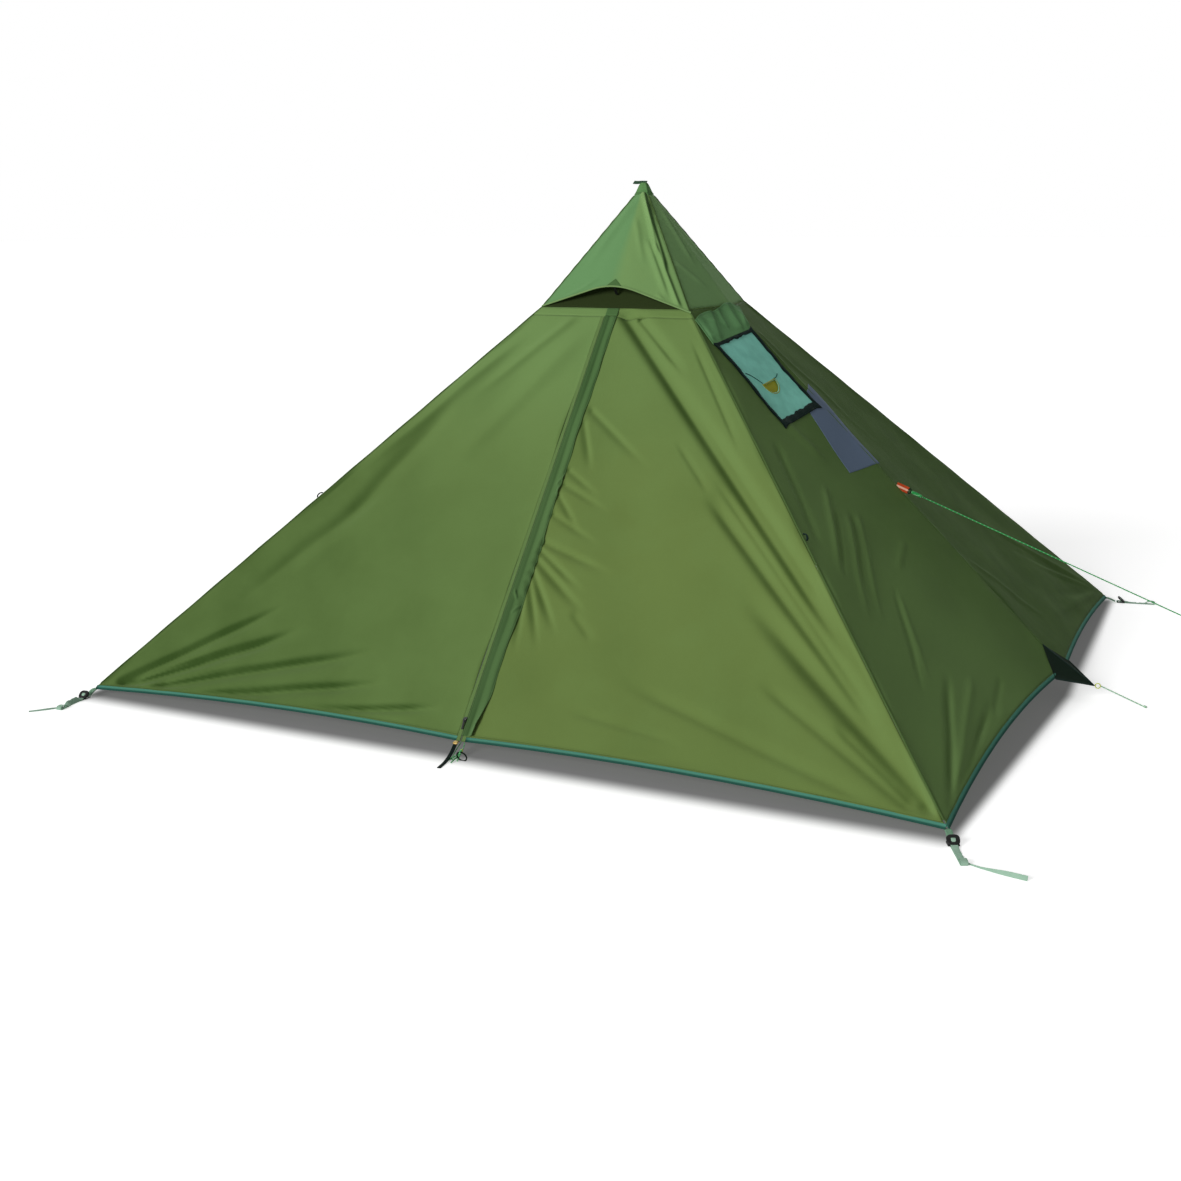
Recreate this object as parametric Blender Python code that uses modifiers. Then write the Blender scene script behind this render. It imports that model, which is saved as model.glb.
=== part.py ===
"""Single-pole pyramid tent: zipped front, propped vent hood, stove jack window and corner tensioners.

Metres, +Z up. The origin is on the ground under the pole, X runs along the front hem and the
zipped front faces -Y. Every panel is its own solid, butted to its neighbours along the seams.
"""

import math

import bmesh
import bpy
import numpy as np
from mathutils import Matrix, Vector
from mathutils.bvhtree import BVHTree

# Driving dimensions of the pitched tent
WIDTH = 3.00
DEPTH = 2.72
HEIGHT = 1.71
KINK_HEIGHT = 1.288
CORNER_HEIGHT = 0.020
KINK_SHARE = 0.19

# Cloth
CLOTH = 0.0012
BINDING = 0.0024
HEM_WIDTH = 0.016
GAP = 0.0003

# How far the canopy is pulled out of the flat planes between its ridges
SIDE_KINK_PULL = 0.052
SIDE_FOOT_PULL = 0.063
SIDE_FOOT_HEIGHT = 0.090
FRONT_FOOT_DROP = 0.022
FRONT_FOOT_HEIGHT = 0.036
FRONT_HEM_ARCH = 0.022
SIDE_FRONT_HEM_ARCH = 0.038
SIDE_REAR_HEM_ARCH = 0.020
REAR_HEM_ARCH = 0.034

# Apex
APEX_OPENING_SHARE = 0.055
APEX_PATCH_SHARE = 0.10
APEX_CROWN_SHARE = 0.045
APEX_CROWN_RISE = 0.022
APEX_CUP_SHARE = 0.22
APEX_CUP_WALL = 0.0015
APEX_PATCH_WALL = 0.0020
APEX_TAB_LENGTH = 0.034
APEX_TAB_WIDTH = 0.018

# Vent under the hood
HOOD_RISE = 0.077
HOOD_REACH = 0.003
HEADER_DROP = 0.026
MESH_SHARE = 0.62
MESH_SETBACK = 0.004
MESH_EDGE_ROOM = 0.014
STRUT_FOOT_HEIGHT = 0.045
STRUT_WIDTH = 0.010
STRUT_THICKNESS = 0.0025

# Zip and storm flap
ZIP_ASIDE = 0.022
ZIP_TAPE_WIDTH = 0.015
ZIP_COIL_WIDTH = 0.0035
ZIP_COIL_HEIGHT = 0.0018
ZIP_HALF_GAP = 0.0010
FLAP_TOP_WIDTH = 0.044
FLAP_FOOT_WIDTH = 0.056
SLIDER_LENGTH = 0.018
SLIDER_WIDTH = 0.011
SLIDER_HEIGHT = 0.0030
SLIDER_FROM_FOOT = 0.070
SLIDER_TOP_ROOM = 0.110
EAR_THICKNESS = 0.0022
PIN_RADIUS = 0.0009
PULL_LENGTH = 0.032
PULL_WIDTH = 0.0056
PULL_THICKNESS = 0.0015

# Stove jack on the front half of the right side, placed down the slope from the kink at the seam
JACK_WIDTH = 0.300
JACK_HEIGHT = 0.372
JACK_BORDER = 0.027
JACK_DOWN = 0.304
JACK_FROM_SEAM = 0.175
JACK_TURN = math.radians(1.5)
JACK_SKEW = 0.105
JACK_LAP = 0.012
PORT_RADIUS = 0.052
PORT_BELOW_CENTRE = 0.014
PORT_ASIDE = 0.016
PORT_FLAP_LAP = 0.008
PORT_FLAP_TILT = math.radians(2.5)
COVER_LENGTH = 0.122
COVER_ASIDE = 0.114
COVER_TAPER = 0.82
COVER_WALL = 0.0030
COVER_FOLD = 0.0065
COVER_LIFT = 0.0011

# Side pull-outs
GUSSET_HEIGHT = 0.172
GUSSET_SPREAD = 0.120
GUSSET_REACH = 0.095
GUSSET_TIP_HEIGHT = 0.048
RING_RADIUS = 0.0085
RING_WIRE = 0.0018
GUSSET_CORD_RADIUS = 0.0022
GUSSET_CORD_REACH = 0.150
TIE_OUT_HEIGHT = 0.683
TIE_OUT_LENGTH = 0.052
TIE_OUT_WIDTH = 0.024
TIE_OUT_THICKNESS = 0.0032
TIE_OUT_EYE = 0.0045
GUYLINE_RADIUS = 0.0020
GUYLINE_SLOPE = math.radians(-20.8)
GUYLINE_LENGTH = 0.930
KNOT_LENGTH = 0.040
KNOT_RADIUS = 0.0050
GUYLINE_LOOP = 0.018

# Corner tensioners: a sewn tab, a ladder lock on it and a webbing peg loop
WEBBING = 0.020
WEBBING_THICKNESS = 0.0012
TAB_THICKNESS = 0.0034
TAB_EYE = 0.0028
TAB_REACH = 0.042
TAB_TUCK = 0.014
LOCK_WIDTH = 0.032
LOCK_THICKNESS = 0.0034
LOCK_BAR = 0.0036
LOCK_LENGTH = 0.0268
PEG_LOOP_REACH = 0.190
PEG_EYE_LENGTH = 0.042
PEG_EYE_HEIGHT = 0.013
TAIL_WIDTH = 0.013
TAIL_LENGTH = 0.130
CORNER_YAWS = {
    "front_left": math.radians(6.0),
    "front_right": math.radians(26.0),
    "rear_right": math.radians(100.0),
    "rear_left": math.radians(100.0),
}

# Ridge loops that hold the rolled-back door halves
RIDGE_LOOP_SHARE = 0.5
RIDGE_LOOP_FROM_RIDGE = 0.009
RIDGE_LOOP_LENGTH = 0.026
RIDGE_LOOP_HEIGHT = 0.017
RIDGE_LOOP_WALL = 0.0030
RIDGE_LOOP_DEPTH = 0.0080

# Strap and cord at the foot of the zip
DOOR_STRAP_LENGTH = 0.150
DOOR_STRAP_WIDTH = 0.011
DOOR_CORD_RADIUS = 0.0013
DOOR_CORD_REACH = 0.075

# Centre pole in three plugged sections
POLE_RADIUS = 0.0095
POLE_WALL = 0.0012
SPIGOT_LENGTH = 0.060
FOOT_RADIUS = 0.019
FOOT_HEIGHT = 0.034
FOOT_FLOOR = 0.012
TIP_HEIGHT = 0.020
ROUND_STEPS = 24

# Grid counts of a panel, across and down
ACROSS = 8
DOWN = 5

HALF_WIDTH = WIDTH / 2
HALF_DEPTH = DEPTH / 2
SIDES = {"right": 1, "left": -1}


def clear_scene():
    for item in list(bpy.data.objects):
        bpy.data.objects.remove(item, do_unlink=True)


def new_collection(name, hidden=False):
    group = bpy.data.collections.new(name)
    bpy.context.scene.collection.children.link(group)
    group.hide_render = hidden
    return group


clear_scene()
PARTS = new_collection("pyramid_tent")
CUTTERS = new_collection("cutters", hidden=True)


def finish(name, colour, roughness, metallic=0.0):
    """A Principled material of one linear colour."""
    material = bpy.data.materials.new(name)
    material.use_nodes = True
    shader = material.node_tree.nodes["Principled BSDF"]
    shader.inputs["Base Color"].default_value = (*colour, 1.0)
    shader.inputs["Roughness"].default_value = roughness
    shader.inputs["Metallic"].default_value = metallic
    return material


CANOPY = finish("coated_ripstop", (0.105, 0.190, 0.055), 0.50)
CAP_CLOTH = finish("cap_ripstop", (0.130, 0.250, 0.095), 0.50)
FLAP_CLOTH = finish("flap_ripstop", (0.045, 0.100, 0.040), 0.55)
TAPE = finish("binding_tape", (0.055, 0.170, 0.125), 0.70)
NET = finish("vent_net", (0.020, 0.035, 0.015), 0.85)
DARK_WEBBING = finish("dark_webbing", (0.010, 0.022, 0.018), 0.80)
PALE_WEBBING = finish("pale_webbing", (0.270, 0.500, 0.330), 0.75)
BLACK_PLASTIC = finish("moulded_acetal", (0.006, 0.010, 0.008), 0.40)
JACK_CLOTH = finish("heat_cloth", (0.100, 0.290, 0.230), 0.65)
GOLD_CLOTH = finish("aramid_cloth", (0.150, 0.190, 0.040), 0.60)
ORANGE = finish("tie_out_webbing", (0.260, 0.045, 0.012), 0.65)
CORD = finish("guy_cord", (0.030, 0.200, 0.060), 0.60)
YELLOW = finish("ring_plastic", (0.450, 0.560, 0.060), 0.45)
METAL = finish("drawn_aluminium", (0.600, 0.610, 0.620), 0.35, 1.0)
ZIP_METAL = finish("slider_zinc", (0.080, 0.085, 0.080), 0.40, 1.0)
RUBBER = finish("foot_rubber", (0.015, 0.015, 0.015), 0.85)


def point(*values):
    return np.array(values, float)


def mix(start, end, share):
    return start + (end - start) * share


def unit(vector):
    return vector / np.linalg.norm(vector)


def add_mesh(name, vertices, faces, material, group=PARTS):
    mesh = bpy.data.meshes.new(name)
    mesh.from_pydata([tuple(v) for v in vertices], [], faces)
    mesh.materials.append(material)
    item = bpy.data.objects.new(name, mesh)
    group.objects.link(item)
    return item


def grid_faces(rows, columns):
    faces = []
    for row in range(rows - 1):
        for column in range(columns - 1):
            first = row * columns + column
            faces.append((first, first + 1, first + columns + 1, first + columns))
    return faces


def grid_normal(grid):
    """Mean normal of a grid of points, turned away from the pole."""
    across = grid[:, -1] - grid[:, 0]
    down = grid[-1].mean(axis=0) - grid[0].mean(axis=0)
    normal = unit(np.cross(across.mean(axis=0), down))
    middle = grid.reshape(-1, 3).mean(axis=0)
    outward = point(middle[0], middle[1], 0)
    return normal if normal @ outward >= 0 else -normal


def shell(name, grid, wall, material, outward=None):
    """A sheet whose outer surface is the grid; the wall goes inwards."""
    rows, columns = grid.shape[:2]
    item = add_mesh(name, grid.reshape(-1, 3), grid_faces(rows, columns), material)
    outward = grid_normal(grid) if outward is None else outward
    item.data.update()
    if sum(face.normal.dot(Vector(outward)) for face in item.data.polygons) < 0:
        item.data.flip_normals()
    solidify = item.modifiers.new("wall", "SOLIDIFY")
    solidify.thickness = wall
    solidify.offset = -1.0
    return item


def plate(name, outlines, thickness, matrix, material, group=PARTS):
    """A flat plate with holes: 2D outlines, extruded evenly about their plane, then placed."""
    curve = bpy.data.curves.new(name + "_outline", "CURVE")
    curve.dimensions = "2D"
    curve.fill_mode = "BOTH"
    curve.extrude = thickness / 2
    for outline in outlines:
        spline = curve.splines.new("POLY")
        spline.points.add(len(outline) - 1)
        for vertex, place in zip(spline.points, outline):
            vertex.co = (*place, 0, 1)
        spline.use_cyclic_u = True
    return meshed(name, curve, matrix, material, group)


def meshed(name, curve, matrix, material, group=PARTS):
    """The curve as a closed mesh object at the given place."""
    guide = bpy.data.objects.new(name + "_guide", curve)
    bpy.context.scene.collection.objects.link(guide)
    graph = bpy.context.evaluated_depsgraph_get()
    mesh = bpy.data.meshes.new_from_object(guide.evaluated_get(graph))
    bpy.data.objects.remove(guide, do_unlink=True)
    work = bmesh.new()
    work.from_mesh(mesh)
    bmesh.ops.remove_doubles(work, verts=work.verts, dist=GAP / 30)
    bmesh.ops.recalc_face_normals(work, faces=work.faces)
    work.to_mesh(mesh)
    work.free()
    mesh.materials.clear()
    mesh.materials.append(material)
    mesh.name = name
    item = bpy.data.objects.new(name, mesh)
    item.matrix_world = matrix
    group.objects.link(item)
    return item


def tube(name, points, radius, material, sides=2):
    """A cord along the points, closed at both ends."""
    curve = bpy.data.curves.new(name, "CURVE")
    curve.dimensions = "3D"
    curve.bevel_depth = radius
    curve.bevel_resolution = sides
    curve.use_fill_caps = True
    spline = curve.splines.new("POLY")
    spline.points.add(len(points) - 1)
    for vertex, place in zip(spline.points, points):
        vertex.co = (*place, 1)
    curve.materials.append(material)
    item = bpy.data.objects.new(name, curve)
    PARTS.objects.link(item)
    return item


def turned(name, profile, material, base=(0, 0, 0)):
    """A closed profile of radius and height turned about Z."""
    vertices = [(radius, 0, height) for radius, height in profile]
    mesh = bpy.data.meshes.new(name)
    edges = [(i, i + 1) for i in range(len(vertices) - 1)]
    if profile[0][0] or profile[-1][0]:
        edges.append((len(vertices) - 1, 0))
    mesh.from_pydata(vertices, edges, [])
    mesh.materials.append(material)
    item = bpy.data.objects.new(name, mesh)
    item.location = base
    PARTS.objects.link(item)
    screw = item.modifiers.new("turn", "SCREW")
    screw.steps = ROUND_STEPS
    screw.render_steps = ROUND_STEPS
    screw.use_merge_vertices = True
    screw.merge_threshold = GAP / 10
    return item


def boolean(target, other, operation, keep=False):
    """Applies one exact Boolean on the target and removes or hides the other object."""
    modifier = target.modifiers.new(operation.lower(), "BOOLEAN")
    modifier.operation = operation
    modifier.solver = "EXACT"
    modifier.object = other
    if keep:
        return
    graph = bpy.context.evaluated_depsgraph_get()
    graph.update()
    mesh = bpy.data.meshes.new_from_object(target.evaluated_get(graph))
    target.modifiers.clear()
    target.data = mesh
    bpy.data.objects.remove(other, do_unlink=True)


def as_cutter(item):
    PARTS.objects.unlink(item)
    CUTTERS.objects.link(item)
    item.hide_render = True
    item.display_type = "WIRE"
    return item


def rounded(x0, x1, y0, y1, radius, steps=3):
    """A rectangle with rounded corners, anticlockwise."""
    centres = (
        (x1 - radius, y1 - radius, 0),
        (x0 + radius, y1 - radius, 1),
        (x0 + radius, y0 + radius, 2),
        (x1 - radius, y0 + radius, 3),
    )
    outline = []
    for cx, cy, quarter in centres:
        for step in range(steps + 1):
            angle = math.pi / 2 * (quarter + step / steps)
            outline.append((cx + radius * math.cos(angle), cy + radius * math.sin(angle)))
    return outline


def circle(cx, cy, radius, steps=16):
    angles = [2 * math.pi * step / steps for step in range(steps)]
    return [(cx + radius * math.cos(a), cy + radius * math.sin(a)) for a in angles]


def band(path, thickness):
    """The outline of a strip of even thickness that follows a 2D path."""
    path = np.array(path, float)
    steps = np.diff(path, axis=0)
    steps /= np.linalg.norm(steps, axis=1)[:, None]
    before = np.vstack([steps[:1], steps])
    after = np.vstack([steps, steps[-1:]])
    along = before + after
    along /= np.linalg.norm(along, axis=1)[:, None]
    side = np.stack([-along[:, 1], along[:, 0]], axis=1)
    spread = np.maximum((side * np.stack([-after[:, 1], after[:, 0]], axis=1)).sum(axis=1), 0.5)
    side *= (thickness / 2 / spread)[:, None]
    return [tuple(p) for p in np.vstack([path + side, (path - side)[::-1]])]


def axes_matrix(origin, u, v):
    """A placing matrix with its X along u, its Y along v made square to u, at the origin."""
    u = Vector(u).normalized()
    v = Vector(v)
    v = (v - u * v.dot(u)).normalized()
    w = u.cross(v)
    matrix = Matrix((u, v, w)).transposed().to_4x4()
    matrix.translation = Vector(origin)
    return matrix


# Corner points of the canopy

APEX = point(0, 0, HEIGHT)


def kink(x_side, y_side):
    return point(x_side * HALF_WIDTH * KINK_SHARE, y_side * HALF_DEPTH * KINK_SHARE, KINK_HEIGHT)


def corner(x_side, y_side):
    return point(x_side * HALF_WIDTH, y_side * HALF_DEPTH, CORNER_HEIGHT)


def side_kink(x_side):
    return point(x_side * (HALF_WIDTH * KINK_SHARE + SIDE_KINK_PULL), 0, KINK_HEIGHT)


def side_foot(x_side):
    return point(x_side * (HALF_WIDTH + SIDE_FOOT_PULL), 0, SIDE_FOOT_HEIGHT)


def side_seam(x_side, height):
    """The point of a side's centre seam at this height."""
    fall = (KINK_HEIGHT - height) / (KINK_HEIGHT - SIDE_FOOT_HEIGHT)
    return mix(side_kink(x_side), side_foot(x_side), fall)


def gusset_tip(x_side):
    return point(x_side * (HALF_WIDTH + SIDE_FOOT_PULL + GUSSET_REACH), 0, GUSSET_TIP_HEIGHT)


BRIM_MIDDLE = point(0, -HALF_DEPTH * KINK_SHARE, KINK_HEIGHT)
HOOD_PEAK = BRIM_MIDDLE + point(0, -HOOD_REACH, HOOD_RISE)
FRONT_TOP = BRIM_MIDDLE - point(ZIP_ASIDE, 0, 0)
FRONT_FOOT = point(-ZIP_ASIDE, -HALF_DEPTH + FRONT_FOOT_DROP, FRONT_FOOT_HEIGHT)
ZIP_DOWN = unit(FRONT_FOOT - FRONT_TOP)
FRONT_OUT = np.cross(point(1, 0, 0), ZIP_DOWN)
FRONT_OUT = FRONT_OUT if FRONT_OUT[1] < 0 else -FRONT_OUT
HEADER_FOOT = mix(FRONT_TOP, FRONT_FOOT, HEADER_DROP / (KINK_HEIGHT - FRONT_FOOT_HEIGHT))
ZIP_LENGTH = np.linalg.norm(FRONT_FOOT - HEADER_FOOT) - 2 * GAP


def patch(left, right, arch=0.0, across=ACROSS, shares=None):
    """Rows of points between two edges, each given as a list of points from top to foot."""
    rows = []
    for left_point, right_point in zip(left, right):
        rows.append([mix(left_point, right_point, c / across) for c in range(across + 1)])
    grid = np.array(rows)
    lift = unit(grid[0].mean(axis=0) - grid[-1].mean(axis=0))
    shares = np.linspace(0, 1, across + 1)
    grid[-1] += (4 * arch * shares * (1 - shares))[:, None] * lift
    return grid


def edge(top, foot, shares):
    return [mix(top, foot, share) for share in shares]


ROW_SHARES = [row / DOWN for row in range(DOWN + 1)]


def front_half(x_side):
    left = edge(kink(x_side, -1), corner(x_side, -1), ROW_SHARES)
    right = edge(FRONT_TOP, FRONT_FOOT, ROW_SHARES)
    return patch(left, right, FRONT_HEM_ARCH)


def side_half(x_side, y_side):
    """From the ridge to the side's centre seam."""
    left = edge(kink(x_side, y_side), corner(x_side, y_side), ROW_SHARES)
    right = edge(side_kink(x_side), side_foot(x_side), ROW_SHARES)
    return patch(left, right, SIDE_FRONT_HEM_ARCH if y_side < 0 else SIDE_REAR_HEM_ARCH)


def rear_face():
    left = edge(kink(-1, 1), corner(-1, 1), ROW_SHARES)
    right = edge(kink(1, 1), corner(1, 1), ROW_SHARES)
    return patch(left, right, REAR_HEM_ARCH, across=2 * ACROSS)


def edge_inset(first, second, wall=CLOTH):
    """How far two sheets stop short of their shared edge so that their inner corners clear."""
    turn = max(math.acos(min(1.0, float(a @ b))) for a in first for b in second)
    half = (math.pi - turn) / 2
    return (wall * math.cos(half) + GAP / 2) / math.sin(half)


def corner_normals(grid, column):
    """Unit normals of a grid beside one of its end columns, at the top and at the foot."""
    step = 1 if column == 0 else -1
    found = []
    for row, down in ((0, 1), (-2, 1)):
        across = grid[row, column + step] - grid[row, column]
        along = grid[row + down, column] - grid[row, column]
        normal = unit(np.cross(across, along))
        found.append(normal if normal[2] >= 0 else -normal)
    return found


def trimmed(grid, first, last):
    """The grid with its end columns moved in by these distances, measured square to each edge."""
    grid = grid.copy()
    for column, step, room in ((0, 1, first), (-1, -1, last)):
        along = unit(grid[-1, column] - grid[0, column])
        across = grid[:, column + step] - grid[:, column]
        length = np.linalg.norm(across, axis=1)
        across /= length[:, None]
        slant = np.sqrt(1 - (across @ along) ** 2)
        grid[:, column] += across * (room / slant)[:, None]
    return grid


def above_hem(grid):
    """The panel's part of a face, down to the binding."""
    grid = grid.copy()
    up = grid[-2] - grid[-1]
    up /= np.linalg.norm(up, axis=1)[:, None]
    grid[-1] += up * (HEM_WIDTH + GAP)
    return grid


def hem_rows(grid):
    """The binding's part of a face."""
    up = grid[-2] - grid[-1]
    up /= np.linalg.norm(up, axis=1)[:, None]
    return np.array([grid[-1] + up * HEM_WIDTH, grid[-1]])


def below_top(grid, room):
    grid = grid.copy()
    down = grid[1] - grid[0]
    down /= np.linalg.norm(down, axis=1)[:, None]
    grid[0] += down * room
    return grid


FRONT = {side: front_half(sign) for side, sign in SIDES.items()}
SIDE = {(s, e): side_half(x, y) for s, x in SIDES.items() for e, y in (("front", -1), ("rear", 1))}
REAR = rear_face()
FRONT_RIDGE_INSET = edge_inset(
    corner_normals(FRONT["right"], 0), corner_normals(SIDE["right", "front"], 0), BINDING
)
REAR_RIDGE_INSET = edge_inset(
    corner_normals(REAR, -1), corner_normals(SIDE["right", "rear"], 0), BINDING
)
SEAM_INSET = edge_inset(
    corner_normals(SIDE["right", "front"], -1), corner_normals(SIDE["right", "rear"], -1), BINDING
)


def make_cap():
    """The steep top: a creased panel over each side and the hood, and a flat one at the rear."""
    shares = [APEX_OPENING_SHARE, 0.4, 0.7, 1.0]
    feet = {
        "cap_front": (kink(-1, -1), HOOD_PEAK, kink(1, -1)),
        "cap_right": (kink(1, -1), side_kink(1), kink(1, 1)),
        "cap_rear": (kink(1, 1), (kink(1, 1) + kink(-1, 1)) / 2, kink(-1, 1)),
        "cap_left": (kink(-1, 1), side_kink(-1), kink(-1, -1)),
    }
    normals = {}
    for name, (left, middle, right) in feet.items():
        first = unit(np.cross(middle - APEX, left - APEX))
        last = unit(np.cross(right - APEX, middle - APEX))
        normals[name] = [n if n[2] >= 0 else -n for n in (first, last)]
    names = list(feet)
    for place, name in enumerate(names):
        left, middle, right = feet[name]
        before, after = names[place - 1], names[(place + 1) % len(names)]
        rows = []
        for share in shares:
            ends = [mix(APEX, foot, share) for foot in (left, middle, right)]
            row = [mix(ends[0], ends[1], c / 2) for c in range(2)]
            row += [mix(ends[1], ends[2], c / 2) for c in range(3)]
            rows.append(row)
        grid = trimmed(
            np.array(rows),
            edge_inset(normals[name][:1], normals[before][1:]),
            edge_inset(normals[name][1:], normals[after][:1]),
        )
        up = grid[-2] - grid[-1]
        grid[-1] += up / np.linalg.norm(up, axis=1)[:, None] * GAP
        shell(name, grid, CLOTH, CAP_CLOTH)


def crown_ring(share, lift):
    """Eight points round the cap at this share of its height below the apex, raised by lift."""
    rear = (kink(1, 1) + kink(-1, 1)) / 2
    feet = [kink(1, 1), rear, kink(-1, 1), side_kink(-1)]
    feet += [kink(-1, -1), HOOD_PEAK, kink(1, -1), side_kink(1)]
    fall = (HEIGHT - KINK_HEIGHT) * share
    return [mix(APEX, foot, fall / (HEIGHT - foot[2])) + point(0, 0, lift) for foot in feet]


def cone(name, rings, wall, material):
    """A faceted cup through the rings, closed across its first one, with its wall going inwards."""
    count = len(rings[0])
    faces = [tuple(range(count))]
    for level in range(len(rings) - 1):
        for i in range(count):
            first, after = level * count + i, level * count + (i + 1) % count
            faces.append((first, first + count, after + count, after))
    item = add_mesh(name, [p for ring in rings for p in ring], faces, material)
    outward_faces(item)
    add_wall(item, wall)
    return item


def make_apex():
    """The sewn crown patch with its hanging tab outside, and the reinforced cup for the pole inside."""
    run = WIDTH / 2 * KINK_SHARE
    steepness = math.hypot(HEIGHT - KINK_HEIGHT, run) / run
    lift = (APEX_PATCH_WALL + 2 * GAP) * steepness * 1.12
    rings = [crown_ring(APEX_CROWN_SHARE, APEX_CROWN_RISE), crown_ring(APEX_PATCH_SHARE, lift)]
    crown = cone("apex_patch", rings, APEX_PATCH_WALL, FLAP_CLOTH)
    top = rings[0][0]
    half = APEX_TAB_WIDTH / 2
    outline = rounded(-top[0] - APEX_TAB_LENGTH, top[0] / 2, -half, half, half / 2)
    tab = plate("tab", [outline], APEX_PATCH_WALL, Matrix.Translation((0, 0, top[2])), FLAP_CLOTH)
    boolean(crown, tab, "UNION")
    ring_lift = -(CLOTH + 2 * GAP) * 2.2
    rings = [crown_ring(share, ring_lift) for share in (APEX_OPENING_SHARE, APEX_CUP_SHARE)]
    cone("apex_cup", rings, APEX_CUP_WALL, DARK_WEBBING)


CUP_ROOF = mix(APEX, kink(1, 1), APEX_OPENING_SHARE)[2] - (CLOTH + 2 * GAP) * 2.2 - APEX_CUP_WALL


def outward_faces(item):
    work = bmesh.new()
    work.from_mesh(item.data)
    middle = sum((v.co for v in work.verts), Vector()) / len(work.verts)
    for face in work.faces:
        if face.normal.dot(face.calc_center_median() - middle) < 0:
            face.normal_flip()
    work.to_mesh(item.data)
    work.free()


def add_wall(item, wall):
    solidify = item.modifiers.new("wall", "SOLIDIFY")
    solidify.thickness = wall
    solidify.offset = -1.0
    solidify.use_even_offset = True


def make_vent():
    """The net across the vent mouth and the prop that holds the hood's brim up."""
    left, right = kink(-1, -1), kink(1, -1)
    plane = unit(np.cross(right - left, APEX - left))
    plane = plane if plane[1] < 0 else -plane
    foot_lift = MESH_SETBACK / 2
    rows = []
    for share in (0.0, 0.5, 1.0):
        up = mix(1.0, MESH_SHARE, share)
        ends = [mix(APEX, foot, up) for foot in (left, right)]
        inwards = unit(ends[1] - ends[0])
        ends = [ends[0] + inwards * MESH_EDGE_ROOM, ends[1] - inwards * MESH_EDGE_ROOM]
        setback = mix(0.0, MESH_SETBACK, share)
        rows.append([mix(ends[0], ends[1], c / 2) - plane * setback for c in range(3)])
    grid = np.array(rows)
    grid[0] -= CAP_SLOPE * GAP
    shell("vent_net", grid, CLOTH / 2, NET)
    half = STRUT_WIDTH / 2
    length = np.linalg.norm(STRUT_TIP - STRUT_PIVOT)
    outline = rounded(-half, half, -STRUT_THICKNESS / 2, length, half * 0.4)
    matrix = axes_matrix(STRUT_PIVOT, (1, 0, 0), STRUT_TIP - STRUT_PIVOT)
    plate("hood_strut", [outline], STRUT_THICKNESS, matrix, BLACK_PLASTIC)


CAP_SLOPE = unit(BRIM_MIDDLE - APEX)
CAP_OUT = np.cross(point(1, 0, 0), CAP_SLOPE)
CAP_OUT = CAP_OUT if CAP_OUT[1] < 0 else -CAP_OUT
STRUT_PIVOT = (
    BRIM_MIDDLE
    - CAP_SLOPE * STRUT_FOOT_HEIGHT / -CAP_SLOPE[2]
    + CAP_OUT * (STRUT_THICKNESS + GAP)
)
CREASE_SLOPE = unit(HOOD_PEAK - APEX)
STRUT_TIP = (
    HOOD_PEAK
    - CREASE_SLOPE * STRUT_THICKNESS * 1.2
    - np.cross(CREASE_SLOPE, point(1, 0, 0)) * (CLOTH + GAP + STRUT_WIDTH * 0.08)
)


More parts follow.
